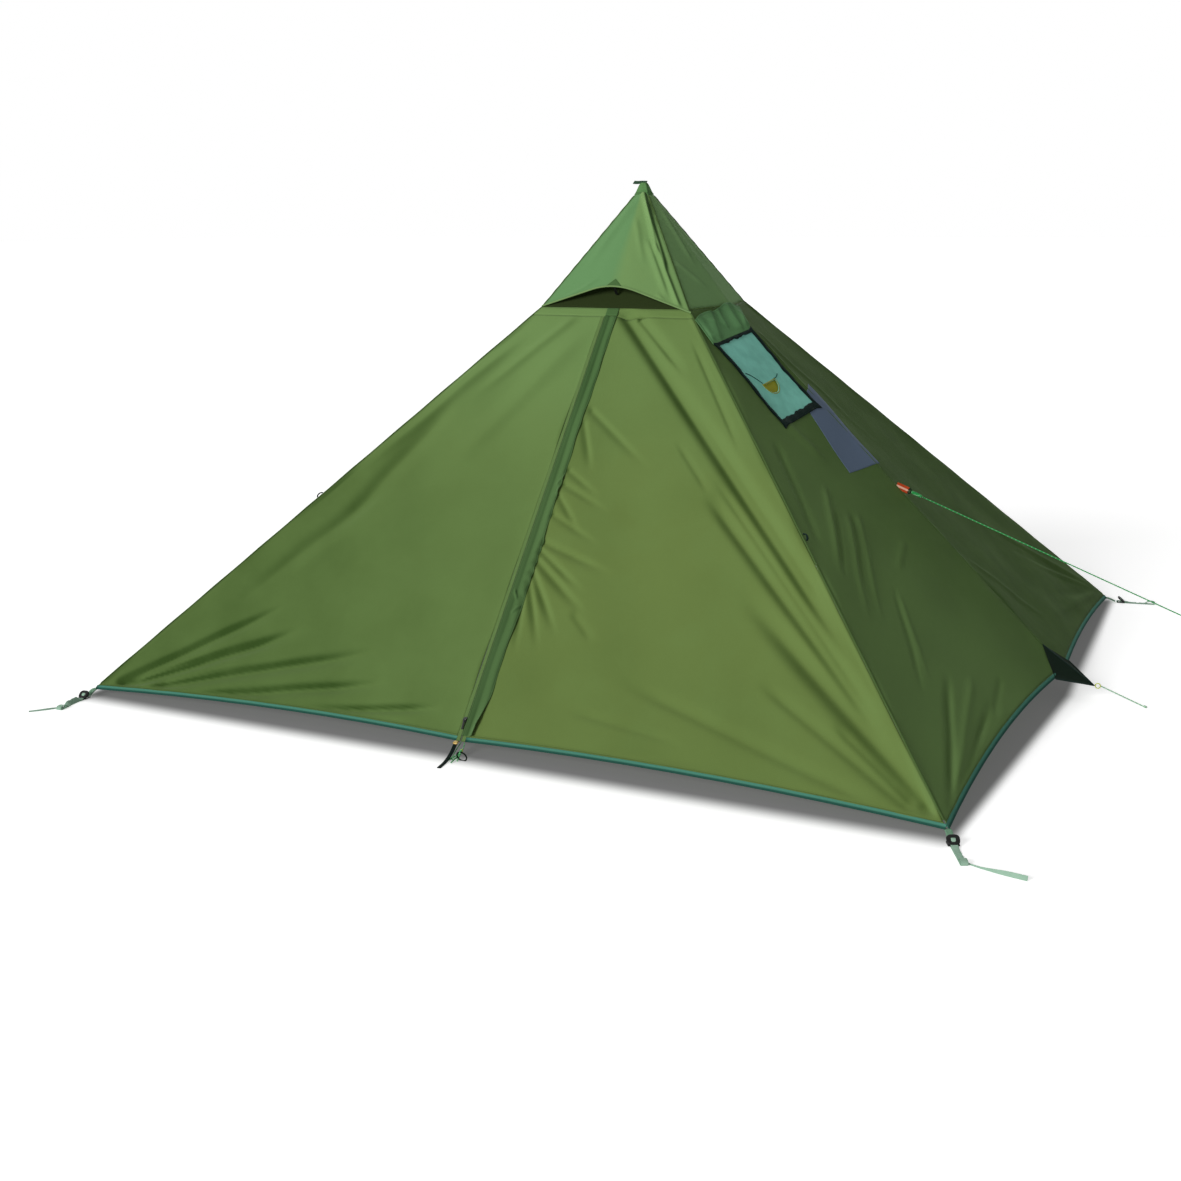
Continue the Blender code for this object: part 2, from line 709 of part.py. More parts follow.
def make_front():
    """Header, the two door halves with their hem bindings, the zip tapes and the storm flap."""
    header_share = HEADER_DROP / (KINK_HEIGHT - FRONT_FOOT_HEIGHT)
    ends = [kink(-1, -1), FRONT_TOP, kink(1, -1)]
    sides = [mix(kink(sign, -1), corner(sign, -1), header_share) for sign in (-1, 1)]
    feet = [sides[0], HEADER_FOOT, sides[1]]
    top = [ends[0], mix(ends[0], ends[1], 0.5), ends[1], mix(ends[1], ends[2], 0.5), ends[2]]
    foot = [feet[0], mix(feet[0], feet[1], 0.5), feet[1], mix(feet[1], feet[2], 0.5), feet[2]]
    header = trimmed(np.array([top, foot]), FRONT_RIDGE_INSET, FRONT_RIDGE_INSET)
    header = below_top(header, GAP)
    item = shell("door_header", header, CLOTH, CANOPY)
    half = HEADER_DROP * 0.46
    outline = rounded(0, FLAP_TOP_WIDTH, -half, half, half * 0.1)
    place = mix(FRONT_TOP, HEADER_FOOT, 0.5) + FRONT_OUT * (CLOTH / 2 - GAP)
    head = plate("zip_head", [outline], CLOTH, axes_matrix(place, (1, 0, 0), -ZIP_DOWN), FLAP_CLOTH)
    boolean(item, head, "UNION")
    for side, grid in FRONT.items():
        tape_room = ZIP_HALF_GAP + ZIP_TAPE_WIDTH + GAP
        door = grid.copy()
        ridge_foot = mix(grid[0, 0], grid[-1, 0], header_share)
        door[0] = [mix(ridge_foot, HEADER_FOOT, c / ACROSS) for c in range(ACROSS + 1)]
        door = below_top(door, GAP)
        door = trimmed(door, FRONT_RIDGE_INSET, tape_room)
        shell("door_" + side, above_hem(door), CLOTH, CANOPY)
        hem = trimmed(grid, FRONT_RIDGE_INSET, tape_room)
        shell("hem_front_" + side, hem_rows(hem), BINDING, TAPE)
    start = HEADER_FOOT + ZIP_DOWN * GAP
    for side, sign in SIDES.items():
        inner, outer = ZIP_HALF_GAP, ZIP_HALF_GAP + ZIP_TAPE_WIDTH
        outline = [
            (inner, -CLOTH), (outer, -CLOTH), (outer, 0),
            (inner + ZIP_COIL_WIDTH, 0), (inner + ZIP_COIL_WIDTH, ZIP_COIL_HEIGHT),
            (inner, ZIP_COIL_HEIGHT),
        ]
        outline = [(sign * x, y) for x, y in outline]
        middle = start + ZIP_DOWN * ZIP_LENGTH / 2
        matrix = axes_matrix(middle, (1, 0, 0), FRONT_OUT)
        plate("zip_tape_" + side, [outline], ZIP_LENGTH, matrix, FLAP_CLOTH)
    over_coil = ZIP_COIL_HEIGHT + GAP + CLOTH
    on_door = CLOTH + GAP
    rows = []
    for share in np.linspace(0, 1, 5):
        width = mix(FLAP_TOP_WIDTH, FLAP_FOOT_WIDTH, share)
        base = start + ZIP_DOWN * ZIP_LENGTH * share
        section = (
            (GAP * 2, over_coil),
            (ZIP_HALF_GAP + ZIP_COIL_WIDTH * 2, over_coil),
            (width * 0.6, on_door * 1.2),
            (width, on_door),
        )
        rows.append([base + point(x, 0, 0) + FRONT_OUT * out for x, out in section])
    shell("storm_flap", np.array(rows), CLOTH, FLAP_CLOTH)


def make_slider():
    """The zip slider with its two ears and pin, and the pull that swings on the pin."""
    matrix = axes_matrix(SLIDER_PLACE, (1, 0, 0), -ZIP_DOWN)
    half = SLIDER_WIDTH / 2
    nose = SLIDER_LENGTH / 2
    outline = [(-half, -nose * 0.6), (-half * 0.6, -nose), (half * 0.6, -nose)]
    outline += [(half, -nose * 0.6), (half, nose), (-half, nose)]
    body = plate("zip_slider", [outline], SLIDER_HEIGHT, matrix, ZIP_METAL)
    for sign in (-1, 1):
        inner = PULL_WIDTH / 2 + GAP
        place = PULL_PIN + point(sign * (inner + EAR_THICKNESS / 2), 0, 0)
        radius = PIN_RADIUS * 2.6
        ear = [(radius * math.cos(a), radius * math.sin(a)) for a in np.linspace(0, math.pi, 7)]
        root = np.dot(SLIDER_PLACE - PULL_PIN, FRONT_OUT)
        ear += [(-radius, root), (radius, root)]
        solid = plate("ear", [ear], EAR_THICKNESS, axes_matrix(place, -ZIP_DOWN, FRONT_OUT), ZIP_METAL)
        boolean(body, solid, "UNION")
    across = axes_matrix(PULL_PIN, -ZIP_DOWN, FRONT_OUT)
    length = PULL_WIDTH + 2 * GAP + EAR_THICKNESS
    pin = plate("pin", [circle(0, 0, PIN_RADIUS, 12)], length, across, ZIP_METAL)
    boolean(body, pin, "UNION")
    half = PULL_THICKNESS / 2 + PIN_RADIUS + GAP
    eye = circle(0, 0, PIN_RADIUS + GAP, 12)
    blade = [(half * math.cos(a), half * math.sin(a)) for a in np.linspace(-math.pi / 2, math.pi / 2, 8)]
    blade += [(-half, half), (-PULL_LENGTH, half), (-PULL_LENGTH, half - PULL_THICKNESS)]
    blade += [(-half * 1.6, half - PULL_THICKNESS), (-half, -half * 0.6)]
    lean = math.sin(PULL_DROOP)
    along = -ZIP_DOWN * math.cos(PULL_DROOP) + FRONT_OUT * lean
    plate("zip_pull", [blade, eye], PULL_WIDTH, axes_matrix(PULL_PIN, along, FRONT_OUT), DARK_WEBBING)


SLIDER_PLACE = (
    FRONT_FOOT
    - ZIP_DOWN * SLIDER_FROM_FOOT
    + FRONT_OUT * (ZIP_COIL_HEIGHT + GAP + SLIDER_HEIGHT / 2)
    - point(SLIDER_WIDTH / 2 + ZIP_HALF_GAP + GAP, 0, 0)
)
PULL_PIN = SLIDER_PLACE + FRONT_OUT * (SLIDER_HEIGHT / 2 + PULL_THICKNESS / 2 + PIN_RADIUS + 3 * GAP)
PULL_DROOP = math.asin((SLIDER_HEIGHT + PULL_THICKNESS * 1.5 + GAP) / PULL_LENGTH)
SLIDER_TRAVEL = ZIP_LENGTH - SLIDER_FROM_FOOT - SLIDER_TOP_ROOM


def make_sides():
    """Each side's two halves, the rear panel, and the bindings round the foot of the tent."""
    for (side, end), grid in SIDE.items():
        ridge = FRONT_RIDGE_INSET if end == "front" else REAR_RIDGE_INSET
        whole = trimmed(grid, ridge, SEAM_INSET)
        panel = below_top(above_hem(whole), GAP)
        item = shell("side_%s_%s" % (side, end), panel, CLOTH, CANOPY)
        if (side, end) == ("right", "front"):
            boolean(item, window_cutter(), "DIFFERENCE", keep=True)
    for side in SIDES:
        front, rear = SIDE[side, "front"], SIDE[side, "rear"]
        first = hem_rows(trimmed(front, FRONT_RIDGE_INSET, 0))
        last = hem_rows(trimmed(rear, REAR_RIDGE_INSET, 0))
        strip = np.concatenate([first, last[:, -2::-1]], axis=1)
        shell("hem_" + side, strip, BINDING, TAPE)
    whole = trimmed(REAR, REAR_RIDGE_INSET, REAR_RIDGE_INSET)
    shell("rear_panel", below_top(above_hem(whole), GAP), CLOTH, CANOPY)
    shell("hem_rear", hem_rows(whole), BINDING, TAPE)


# Stove jack: a flat frame of reference on the right side, with points dropped onto the cloth

JACK_DOWN_AXIS = unit(side_foot(1) - side_kink(1))
JACK_OUT = unit(np.cross(side_kink(1) - kink(1, -1), JACK_DOWN_AXIS))
JACK_OUT = JACK_OUT if JACK_OUT[2] > 0 else -JACK_OUT
JACK_SIDE_AXIS = np.cross(JACK_OUT, JACK_DOWN_AXIS)
JACK_SIDE_AXIS = JACK_SIDE_AXIS if JACK_SIDE_AXIS[1] > 0 else -JACK_SIDE_AXIS
JACK_CENTRE = side_kink(1) + JACK_DOWN_AXIS * JACK_DOWN - JACK_SIDE_AXIS * JACK_FROM_SEAM
JACK_X = JACK_SIDE_AXIS * math.cos(JACK_TURN) - JACK_DOWN_AXIS * math.sin(JACK_TURN)
JACK_Y = -JACK_DOWN_AXIS * math.cos(JACK_TURN) - JACK_SIDE_AXIS * math.sin(JACK_TURN)
JACK_CLOTHS = [
    BVHTree.FromPolygons([Vector(p) for p in grid.reshape(-1, 3)], grid_faces(*grid.shape[:2]))
    for grid in (SIDE["right", "front"], SIDE["right", "rear"])
]


def on_side(x, y, lift):
    """The point of the window's plane at x, y, dropped onto the cloth and raised by lift."""
    place = JACK_CENTRE + JACK_X * (x + JACK_SKEW * y) + JACK_Y * y
    above = Vector(place + JACK_OUT * HEM_WIDTH * 4)
    hits = [tree.ray_cast(above, Vector(-JACK_OUT))[0] for tree in JACK_CLOTHS]
    found = next((hit for hit in hits if hit is not None), Vector(place))
    return np.array(found) + JACK_OUT * lift


def draped(xs, ys, lift):
    return np.array([[on_side(x, y, lift) for x in xs] for y in ys])


def window_cutter():
    """A block through the cloth behind the jack panel."""
    half_x = JACK_WIDTH / 2 - JACK_BORDER - JACK_LAP
    half_y = JACK_HEIGHT / 2 - JACK_BORDER - JACK_LAP
    outline = [(-half_x, -half_y), (half_x, -half_y), (half_x, half_y), (-half_x, half_y)]
    outline = [(x + JACK_SKEW * y, y) for x, y in outline]
    item = plate("window_cutter", [outline], JACK_BORDER * 2, axes_matrix(JACK_CENTRE, JACK_X, JACK_Y), CANOPY)
    return as_cutter(item)


def make_jack():
    """The heat panel with its port, the sewn border round it, the port flap and the rain cover."""
    half_x, half_y = JACK_WIDTH / 2, JACK_HEIGHT / 2
    inner_x, inner_y = half_x - JACK_BORDER, half_y - JACK_BORDER
    lift = CLOTH + GAP
    panel_xs = np.linspace(-inner_x - JACK_LAP / 2, inner_x + JACK_LAP / 2, 5)
    panel_ys = np.linspace(inner_y + JACK_LAP / 2, -inner_y - JACK_LAP / 2, 5)
    panel = shell("jack_panel", draped(panel_xs, panel_ys, lift), CLOTH, JACK_CLOTH, JACK_OUT)
    boolean(panel, port_cutter(), "DIFFERENCE", keep=True)
    xs = np.array([-half_x, -inner_x, -inner_x / 3, inner_x / 3, inner_x, half_x])
    ys = np.array([half_y, inner_y, inner_y / 3, -inner_y / 3, -inner_y, -half_y])
    grid = draped(xs, ys, lift + CLOTH + GAP)
    count = len(xs)
    open_cells = [f for i, f in enumerate(grid_faces(count, count)) if cell_on_border(i, count - 1)]
    frame = add_mesh("jack_frame", grid.reshape(-1, 3), open_cells, DARK_WEBBING)
    drop_loose(frame)
    frame.data.update()
    if sum(face.normal.dot(Vector(JACK_OUT)) for face in frame.data.polygons) < 0:
        frame.data.flip_normals()
    add_wall(frame, CLOTH)
    reach = PORT_RADIUS + PORT_FLAP_LAP
    arc = [(reach * math.cos(a), -reach * math.sin(a)) for a in np.linspace(0, math.pi, 13)]
    up = PORT_UP * math.cos(PORT_FLAP_TILT) + JACK_OUT * math.sin(PORT_FLAP_TILT)
    plate("port_flap", [arc], CLOTH, axes_matrix(PORT_HINGE, PORT_AXIS, up), GOLD_CLOTH)
    make_cover(half_x, half_y)


def cell_on_border(index, cells):
    row, column = divmod(index, cells)
    return row in (0, cells - 1) or column in (0, cells - 1)


def drop_loose(item):
    work = bmesh.new()
    work.from_mesh(item.data)
    loose = [v for v in work.verts if not v.link_faces]
    bmesh.ops.delete(work, geom=loose, context="VERTS")
    work.to_mesh(item.data)
    work.free()


PORT_ENDS = [
    on_side(-PORT_ASIDE + sign * (PORT_RADIUS + PORT_FLAP_LAP), -PORT_BELOW_CENTRE, -CLOTH * 0.6)
    for sign in (-1, 1)
]
PORT_HINGE = (PORT_ENDS[0] + PORT_ENDS[1]) / 2
PORT_AXIS = unit(PORT_ENDS[1] - PORT_ENDS[0])
PORT_FLAP_FOOT = on_side(
    -PORT_ASIDE, -PORT_BELOW_CENTRE - PORT_RADIUS - PORT_FLAP_LAP, -CLOTH * 0.6
)
PORT_UP = unit(PORT_HINGE - PORT_FLAP_FOOT)


def port_cutter():
    turns = np.linspace(0.15, math.pi - 0.15, 13)
    arc = [(PORT_RADIUS * math.cos(a), -PORT_RADIUS * math.sin(a)) for a in turns]
    item = plate("port_cutter", [arc], JACK_BORDER, axes_matrix(PORT_HINGE, PORT_AXIS, JACK_Y), JACK_CLOTH)
    return as_cutter(item)


def make_cover(half_x, half_y):
    """The rain cover, flipped up and gathered above the window in soft upright folds."""
    columns, rows = 25, 7
    grid = []
    for row in range(rows):
        share = row / (rows - 1)
        line = []
        for column in range(columns):
            across = column / (columns - 1) * 2 - 1
            x = across * half_x * mix(0.94, COVER_TAPER, share) + COVER_ASIDE * share
            fold = 0.5 - 0.5 * math.cos(across * math.pi * 4 + share * 1.2)
            lift = COVER_LIFT + COVER_WALL + COVER_FOLD * fold * math.sin(math.pi * share / 1.2)
            y = half_y + GAP * 1.5 + COVER_LENGTH * share * (1 - 0.06 * across * across)
            line.append(on_side(x, y, lift))
        grid.append(line)
    shell("rain_cover", np.array(grid), COVER_WALL, CAP_CLOTH, JACK_OUT)


def hem_point(x_side, y_side, reach):
    """The point of a side's foot at this distance from its centre seam."""
    side = "right" if x_side > 0 else "left"
    foot = SIDE[side, "front" if y_side < 0 else "rear"][-1]
    return point(*(np.interp(reach, abs(foot[::-1, 1]), foot[::-1, k]) for k in range(3)))


def make_gussets():
    """The net fin that pulls each side out at its foot, its ring, and the cord loop to the peg."""
    for side, sign in SIDES.items():
        off = point(sign, 0, 0) * (CLOTH + 2 * GAP)
        feet = [hem_point(sign, y_side, GUSSET_SPREAD) for y_side in (-1, 1)]
        corners = [side_seam(sign, GUSSET_HEIGHT), feet[0], gusset_tip(sign), feet[1]]
        item = add_mesh("gusset_" + side, [p + off for p in corners], [(0, 1, 2), (0, 2, 3)], NET)
        if item.data.polygons[0].normal.x * sign < 0:
            item.data.flip_normals()
        add_wall(item, CLOTH)
    middle = gusset_tip(1) + point(RING_RADIUS + RING_WIRE + CLOTH + 3 * GAP, 0, 0)
    ring("gusset_ring", middle, RING_RADIUS, RING_WIRE, YELLOW)
    start = middle + point(RING_RADIUS + RING_WIRE + GAP + GUSSET_CORD_RADIUS * 0.2, 0, 0)
    end = point(start[0] + GUSSET_CORD_REACH, -GUSSET_CORD_REACH * 0.2, GUSSET_CORD_RADIUS + GAP)
    tube("gusset_cord", cord_line(start, end), GUSSET_CORD_RADIUS, PALE_WEBBING)


def ring(name, middle, radius, wire, material):
    bpy.ops.mesh.primitive_torus_add(
        major_radius=radius, minor_radius=wire, major_segments=20, minor_segments=8,
        location=tuple(middle), rotation=(math.pi / 2, 0, 0),
    )
    item = bpy.context.object
    item.name = name
    item.data.name = name
    item.data.materials.append(material)
    for group in list(item.users_collection):
        group.objects.unlink(item)
    PARTS.objects.link(item)
    return item


def cord_line(start, end, count=13, sag=0.0):
    """Points from start to end, hanging below the straight line by sag at the middle."""
    line = []
    for share in np.linspace(0, 1, count):
        place = mix(start, end, share)
        line.append(place - point(0, 0, 4 * sag * share * (1 - share)))
    return line


GUY_DIRECTION = point(math.cos(GUYLINE_SLOPE), 0, math.sin(GUYLINE_SLOPE))


def tie_out_start(sign):
    seam = side_seam(sign, TIE_OUT_HEIGHT)
    return seam + point(sign, 0, 1) * GAP * 2


def make_tie_outs():
    """The webbing tie-outs on both side seams, and the guyline on the right one."""
    for side, sign in SIDES.items():
        along = GUY_DIRECTION * point(sign, 1, 1)
        half = TIE_OUT_WIDTH / 2
        outline = rounded(0, TIE_OUT_LENGTH, -half, half, half * 0.3)
        eye = circle(TIE_OUT_LENGTH - TIE_OUT_EYE * 1.8, 0, TIE_OUT_EYE, 12)
        matrix = axes_matrix(tie_out_start(sign) + along * TIE_OUT_THICKNESS, along, (0, 1, 0))
        plate("tie_out_" + side, [outline, eye], TIE_OUT_THICKNESS, matrix, ORANGE)
    start = tie_out_start(1) + GUY_DIRECTION * (TIE_OUT_THICKNESS + TIE_OUT_LENGTH + GAP)
    knot_end = start + GUY_DIRECTION * KNOT_LENGTH
    tube("guyline_knot", cord_line(start, knot_end, 5), KNOT_RADIUS, CORD, 3)
    line_start = knot_end + GUY_DIRECTION * GAP
    line_end = line_start + GUY_DIRECTION * GUYLINE_LENGTH
    tube("guyline", cord_line(line_start, line_end, 40), GUYLINE_RADIUS, CORD)
    middle = line_end + GUY_DIRECTION * (GAP + GUYLINE_LOOP + GUYLINE_RADIUS * 1.5)
    ring("guyline_loop", middle, GUYLINE_LOOP, GUYLINE_RADIUS * 1.5, CORD)


def corner_frame(name):
    """A corner's plan direction away from the tent, the direction across it, and its ground point."""
    x_side = 1 if name.endswith("right") else -1
    y_side = -1 if name.startswith("front") else 1
    yaw = CORNER_YAWS[name]
    inward_yaw = -1 if name == "front_left" else 1
    out = point(inward_yaw * x_side * math.sin(yaw), -math.cos(yaw), 0)
    place = corner(x_side, y_side)
    return out, point(place[0], place[1], 0), x_side


def make_corner(name):
    """One corner: tab tucked under the hem, ladder lock on the tab's fold, webbing to the peg."""
    out, base, x_side = corner_frame(name)
    upright = axes_matrix(base, out, (0, 0, 1))
    bar_height = TAB_EYE + WEBBING_THICKNESS
    top = CORNER_HEIGHT - BINDING * 0.75 - GAP - TAB_THICKNESS / 2
    path = [(-TAB_TUCK, top), (TAB_TUCK / 3, top), (TAB_REACH - bar_height, bar_height)]
    tab = plate("corner_tab_" + name, [band(path, TAB_THICKNESS)], WEBBING, upright, DARK_WEBBING)
    eye = plate("eye", [circle(TAB_REACH, bar_height, bar_height, 20)], WEBBING, upright, DARK_WEBBING)
    boolean(tab, eye, "UNION")
    outline = circle(TAB_REACH, bar_height, TAB_EYE, 16)
    hole = plate("eye_hole", [outline], WEBBING * 2, upright, DARK_WEBBING)
    boolean(tab, hole, "DIFFERENCE")
    bar = base + out * TAB_REACH + point(0, 0, bar_height)
    flat = axes_matrix(bar, out, np.cross(point(0, 0, 1), out))
    half, slot = LOCK_WIDTH / 2, WEBBING / 2 + GAP * 2
    marks = [LOCK_BAR / 2, LOCK_LENGTH * 0.33, LOCK_LENGTH * 0.50, LOCK_LENGTH * 0.74]
    outlines = [rounded(-LOCK_BAR / 2, LOCK_LENGTH, -half, half, LOCK_BAR / 2.2)]
    outlines.append(rounded(marks[0], marks[1], -slot, slot, GAP * 2))
    outlines.append(rounded(marks[2], marks[3], -slot, slot, GAP * 2))
    plate("ladder_lock_" + name, outlines, LOCK_THICKNESS, flat, BLACK_PLASTIC)
    make_peg_loop(name, upright, bar_height, marks, x_side)


def make_peg_loop(name, upright, bar_height, marks, x_side):
    """Webbing under the lock, up through its first slot, back over its bars; an eye at the far end."""
    low = GAP + WEBBING_THICKNESS / 2
    over = bar_height + LOCK_THICKNESS / 2 + GAP + WEBBING_THICKNESS / 2
    second = low + WEBBING_THICKNESS + GAP
    rise = TAB_REACH + marks[1] - GAP - WEBBING_THICKNESS / 2
    end = TAB_REACH + LOCK_LENGTH
    eye_start = PEG_LOOP_REACH - PEG_EYE_LENGTH
    path = [
        (eye_start - WEBBING, second),
        (eye_start, second),
        (eye_start + PEG_EYE_LENGTH * 0.35, PEG_EYE_HEIGHT * 0.85),
        (eye_start + PEG_EYE_LENGTH * 0.70, PEG_EYE_HEIGHT),
        (eye_start + PEG_EYE_LENGTH * 0.95, PEG_EYE_HEIGHT * 0.75),
        (eye_start + PEG_EYE_LENGTH, PEG_EYE_HEIGHT * 0.40),
        (eye_start + PEG_EYE_LENGTH * 0.90, low),
        (rise + WEBBING_THICKNESS, low),
        (rise, low + WEBBING_THICKNESS),
        (rise, over - WEBBING_THICKNESS / 2),
        (rise + WEBBING_THICKNESS, over),
        (end, over),
        (end + LOCK_LENGTH, second),
        (end + LOCK_LENGTH * 1.8, second),
    ]
    strap = plate("peg_loop_" + name, [band(path, WEBBING_THICKNESS)], WEBBING, upright, PALE_WEBBING)
    if not name.startswith("front"):
        return
    shares = np.linspace(0, 1, 7)
    bend = [(TAIL_LENGTH * (s * 0.9 - 0.12), x_side * TAIL_LENGTH * 0.42 * s * s) for s in shares]
    out, base, _ = corner_frame(name)
    across = point(-out[1], out[0], 0)
    place = base + out * (PEG_LOOP_REACH - PEG_EYE_LENGTH * 0.45) + point(0, 0, low)
    thin = WEBBING_THICKNESS - GAP
    tail = plate("tail", [band(bend, TAIL_WIDTH)], thin, axes_matrix(place, out, across), PALE_WEBBING)
    boolean(strap, tail, "UNION")


def make_ridge_loops():
    """A sewn loop and toggle eye beside each front ridge, for tying a door half back."""
    for side, sign in SIDES.items():
        grid = SIDE[side, "front"]
        ridge = unit(corner(sign, -1) - kink(sign, -1))
        place = mix(kink(sign, -1), corner(sign, -1), RIDGE_LOOP_SHARE)
        inwards = grid[2, 1] - grid[2, 0]
        inwards = unit(inwards - ridge * (inwards @ ridge))
        outward = np.cross(inwards, ridge)
        outward = outward if outward[2] > 0 else -outward
        base = place + inwards * RIDGE_LOOP_FROM_RIDGE + outward * GAP * 1.4
        half = RIDGE_LOOP_LENGTH / 2
        wall = RIDGE_LOOP_WALL
        outer = rounded(-half, half, 0, RIDGE_LOOP_HEIGHT, RIDGE_LOOP_HEIGHT * 0.4)
        top = RIDGE_LOOP_HEIGHT - wall
        inner = rounded(-half + wall, half - wall, wall * 0.6, top, RIDGE_LOOP_HEIGHT * 0.25)
        matrix = axes_matrix(base, ridge, outward)
        plate("ridge_loop_" + side, [outer, inner], RIDGE_LOOP_DEPTH, matrix, DARK_WEBBING)


def make_door_foot():
    """The pull strap and the cord loop sewn to the door halves at the foot of the zip."""
    start = FRONT_FOOT - point(ZIP_HALF_GAP + ZIP_TAPE_WIDTH * 0.6, 0, 0)
    height = start[2] - CLOTH * abs(FRONT_OUT[2]) - GAP - BINDING / 2
    reach = DOOR_STRAP_LENGTH
    low = BINDING / 2 + GAP
    path = [(0, height), (reach * 0.10, height), (reach * 0.35, mix(height, low, 0.6))]
    path += [(reach * 0.65, mix(height, low, 0.95)), (reach, low)]
    matrix = axes_matrix(point(start[0], start[1], 0), (0.15, -1, 0), (0, 0, 1))
    plate("door_strap", [band(path, BINDING)], DOOR_STRAP_WIDTH, matrix, DARK_WEBBING)
    radius = DOOR_CORD_RADIUS
    low = radius + GAP
    base = FRONT_FOOT + point(ZIP_HALF_GAP + ZIP_TAPE_WIDTH * 0.5, CLOTH * 0.4, 0)
    top = base[2] - CLOTH * abs(FRONT_OUT[2]) - GAP
    reach = DOOR_CORD_REACH / 2
    turns = np.linspace(-0.82, 0.82, 17) * math.pi
    points = []
    for turn in turns:
        forward = reach * (math.cos(turn) - math.cos(turns[0]))
        share = min(1.0, forward / reach / 1.2)
        height = mix(top - radius * 3, low, share ** 0.8)
        points.append(point(base[0] + reach * 0.3 * math.sin(turn), base[1] - forward, height))
    ends = [point(place[0], base[1], top) for place in (points[0], points[-1])]
    tube("door_cord", [ends[0], *points, ends[1]], radius, CORD)


def make_pole():
    """The centre pole: foot, three tubes plugged into each other by spigots, and a tip under the cup."""
    crown = CUP_ROOF - GAP
    tube_foot = FOOT_FLOOR + GAP
    tube_top = crown - TIP_HEIGHT
    third = (tube_top - tube_foot) / 3
    inner = POLE_RADIUS - POLE_WALL
    rim = POLE_RADIUS + GAP
    profile = [(0, FOOT_FLOOR), (rim, FOOT_FLOOR), (rim, FOOT_HEIGHT)]
    profile += [(FOOT_RADIUS * 0.72, FOOT_HEIGHT), (FOOT_RADIUS * 0.80, FOOT_HEIGHT * 0.4)]
    profile += [(FOOT_RADIUS, FOOT_HEIGHT * 0.12), (FOOT_RADIUS, 0), (0, 0)]
    turned("pole_foot", profile, RUBBER)
    names = ("pole_lower", "pole_middle", "pole_upper")
    for place, name in enumerate(names):
        low = tube_foot + third * place + (GAP if place else 0)
        high = tube_foot + third * (place + 1)
        spigot = inner - GAP
        bore = spigot - POLE_WALL
        if place < len(names) - 1:
            profile = [(spigot, high + SPIGOT_LENGTH), (spigot, high), (POLE_RADIUS, high)]
            profile += [(POLE_RADIUS, low), (inner, low), (inner, high - SPIGOT_LENGTH)]
            profile += [(bore, high - SPIGOT_LENGTH * 0.9), (bore, high + SPIGOT_LENGTH)]
        else:
            profile = [(POLE_RADIUS, high), (POLE_RADIUS, low), (inner, low), (inner, high)]
        turned(name, profile, METAL)
    stem = inner - GAP
    profile = [(0, crown), (POLE_RADIUS * 0.45, crown)]
    profile += [(POLE_RADIUS * 0.85, crown - TIP_HEIGHT * 0.25)]
    profile += [(POLE_RADIUS, crown - TIP_HEIGHT * 0.6), (POLE_RADIUS, tube_top + GAP)]
    profile += [(stem, tube_top + GAP), (stem, tube_top - TIP_HEIGHT), (0, tube_top - TIP_HEIGHT)]
    turned("pole_tip", profile, BLACK_PLASTIC)


def build():
    make_cap()
    make_apex()
    make_vent()
    make_front()
    make_slider()
    make_sides()
    make_jack()
    make_gussets()
    make_tie_outs()
    for name in CORNER_YAWS:
        make_corner(name)
    make_ridge_loops()
    make_door_foot()
    make_pole()


build()
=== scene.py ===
"""Single-pole pyramid tent: the looks of its cloth, webbing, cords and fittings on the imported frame.

Metres, +Z up. The origin is on the ground under the pole and the zipped front faces -Y. Every cloth
face is one function of two shares: s runs across it from seam to seam, t runs down it.
"""

import logging
import math
from dataclasses import dataclass
from enum import Enum
from typing import Callable, Optional, Sequence

import bpy
import numpy as np
from mathutils import Matrix


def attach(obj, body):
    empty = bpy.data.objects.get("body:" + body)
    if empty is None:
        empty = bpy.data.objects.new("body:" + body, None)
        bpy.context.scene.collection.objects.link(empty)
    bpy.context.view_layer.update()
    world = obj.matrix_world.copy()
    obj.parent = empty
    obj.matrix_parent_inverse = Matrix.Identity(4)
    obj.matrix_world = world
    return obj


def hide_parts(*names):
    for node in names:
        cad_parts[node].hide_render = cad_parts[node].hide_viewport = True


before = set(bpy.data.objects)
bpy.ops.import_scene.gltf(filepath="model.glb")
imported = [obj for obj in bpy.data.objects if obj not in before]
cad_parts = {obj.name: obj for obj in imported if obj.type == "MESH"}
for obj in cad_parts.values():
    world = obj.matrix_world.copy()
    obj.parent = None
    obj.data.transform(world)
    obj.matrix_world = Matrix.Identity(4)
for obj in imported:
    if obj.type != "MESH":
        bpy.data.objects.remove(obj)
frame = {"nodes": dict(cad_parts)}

Array = np.ndarray
LOG = logging.getLogger("pyramid_tent")
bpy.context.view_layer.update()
TAU = 2 * math.pi


class Sign(Enum):
    """A place of the tent with the sign of its coordinate."""

    @property
    def low(self) -> str:
        """Its name as it stands in the names of pieces."""
        return self.name.lower()


class Side(Sign):
    """The two sides of the tent, with the sign of their X."""

    RIGHT = 1
    LEFT = -1


class End(Sign):
    """The two ends of the tent, with the sign of their Y."""

    FRONT = -1
    REAR = 1


# Arrays


def point(*values: float) -> Array:
    """The values as one array of floats."""
    return np.array(values, float)


def mix(start: Array, end: Array, share: Array) -> Array:
    """The value this share of the way from start to end."""
    return start + (end - start) * share


def unit(vectors: Array) -> Array:
    """The vectors at length one, along the last axis."""
    return vectors / np.linalg.norm(vectors, axis=-1, keepdims=True)


def smooth(values: Array, low: float, high: float) -> Array:
    """A rise from 0 at low to 1 at high, level at both ends: 3x^2 - 2x^3."""
    share = np.clip((values - low) / (high - low), 0, 1)
    return share * share * (3 - 2 * share)


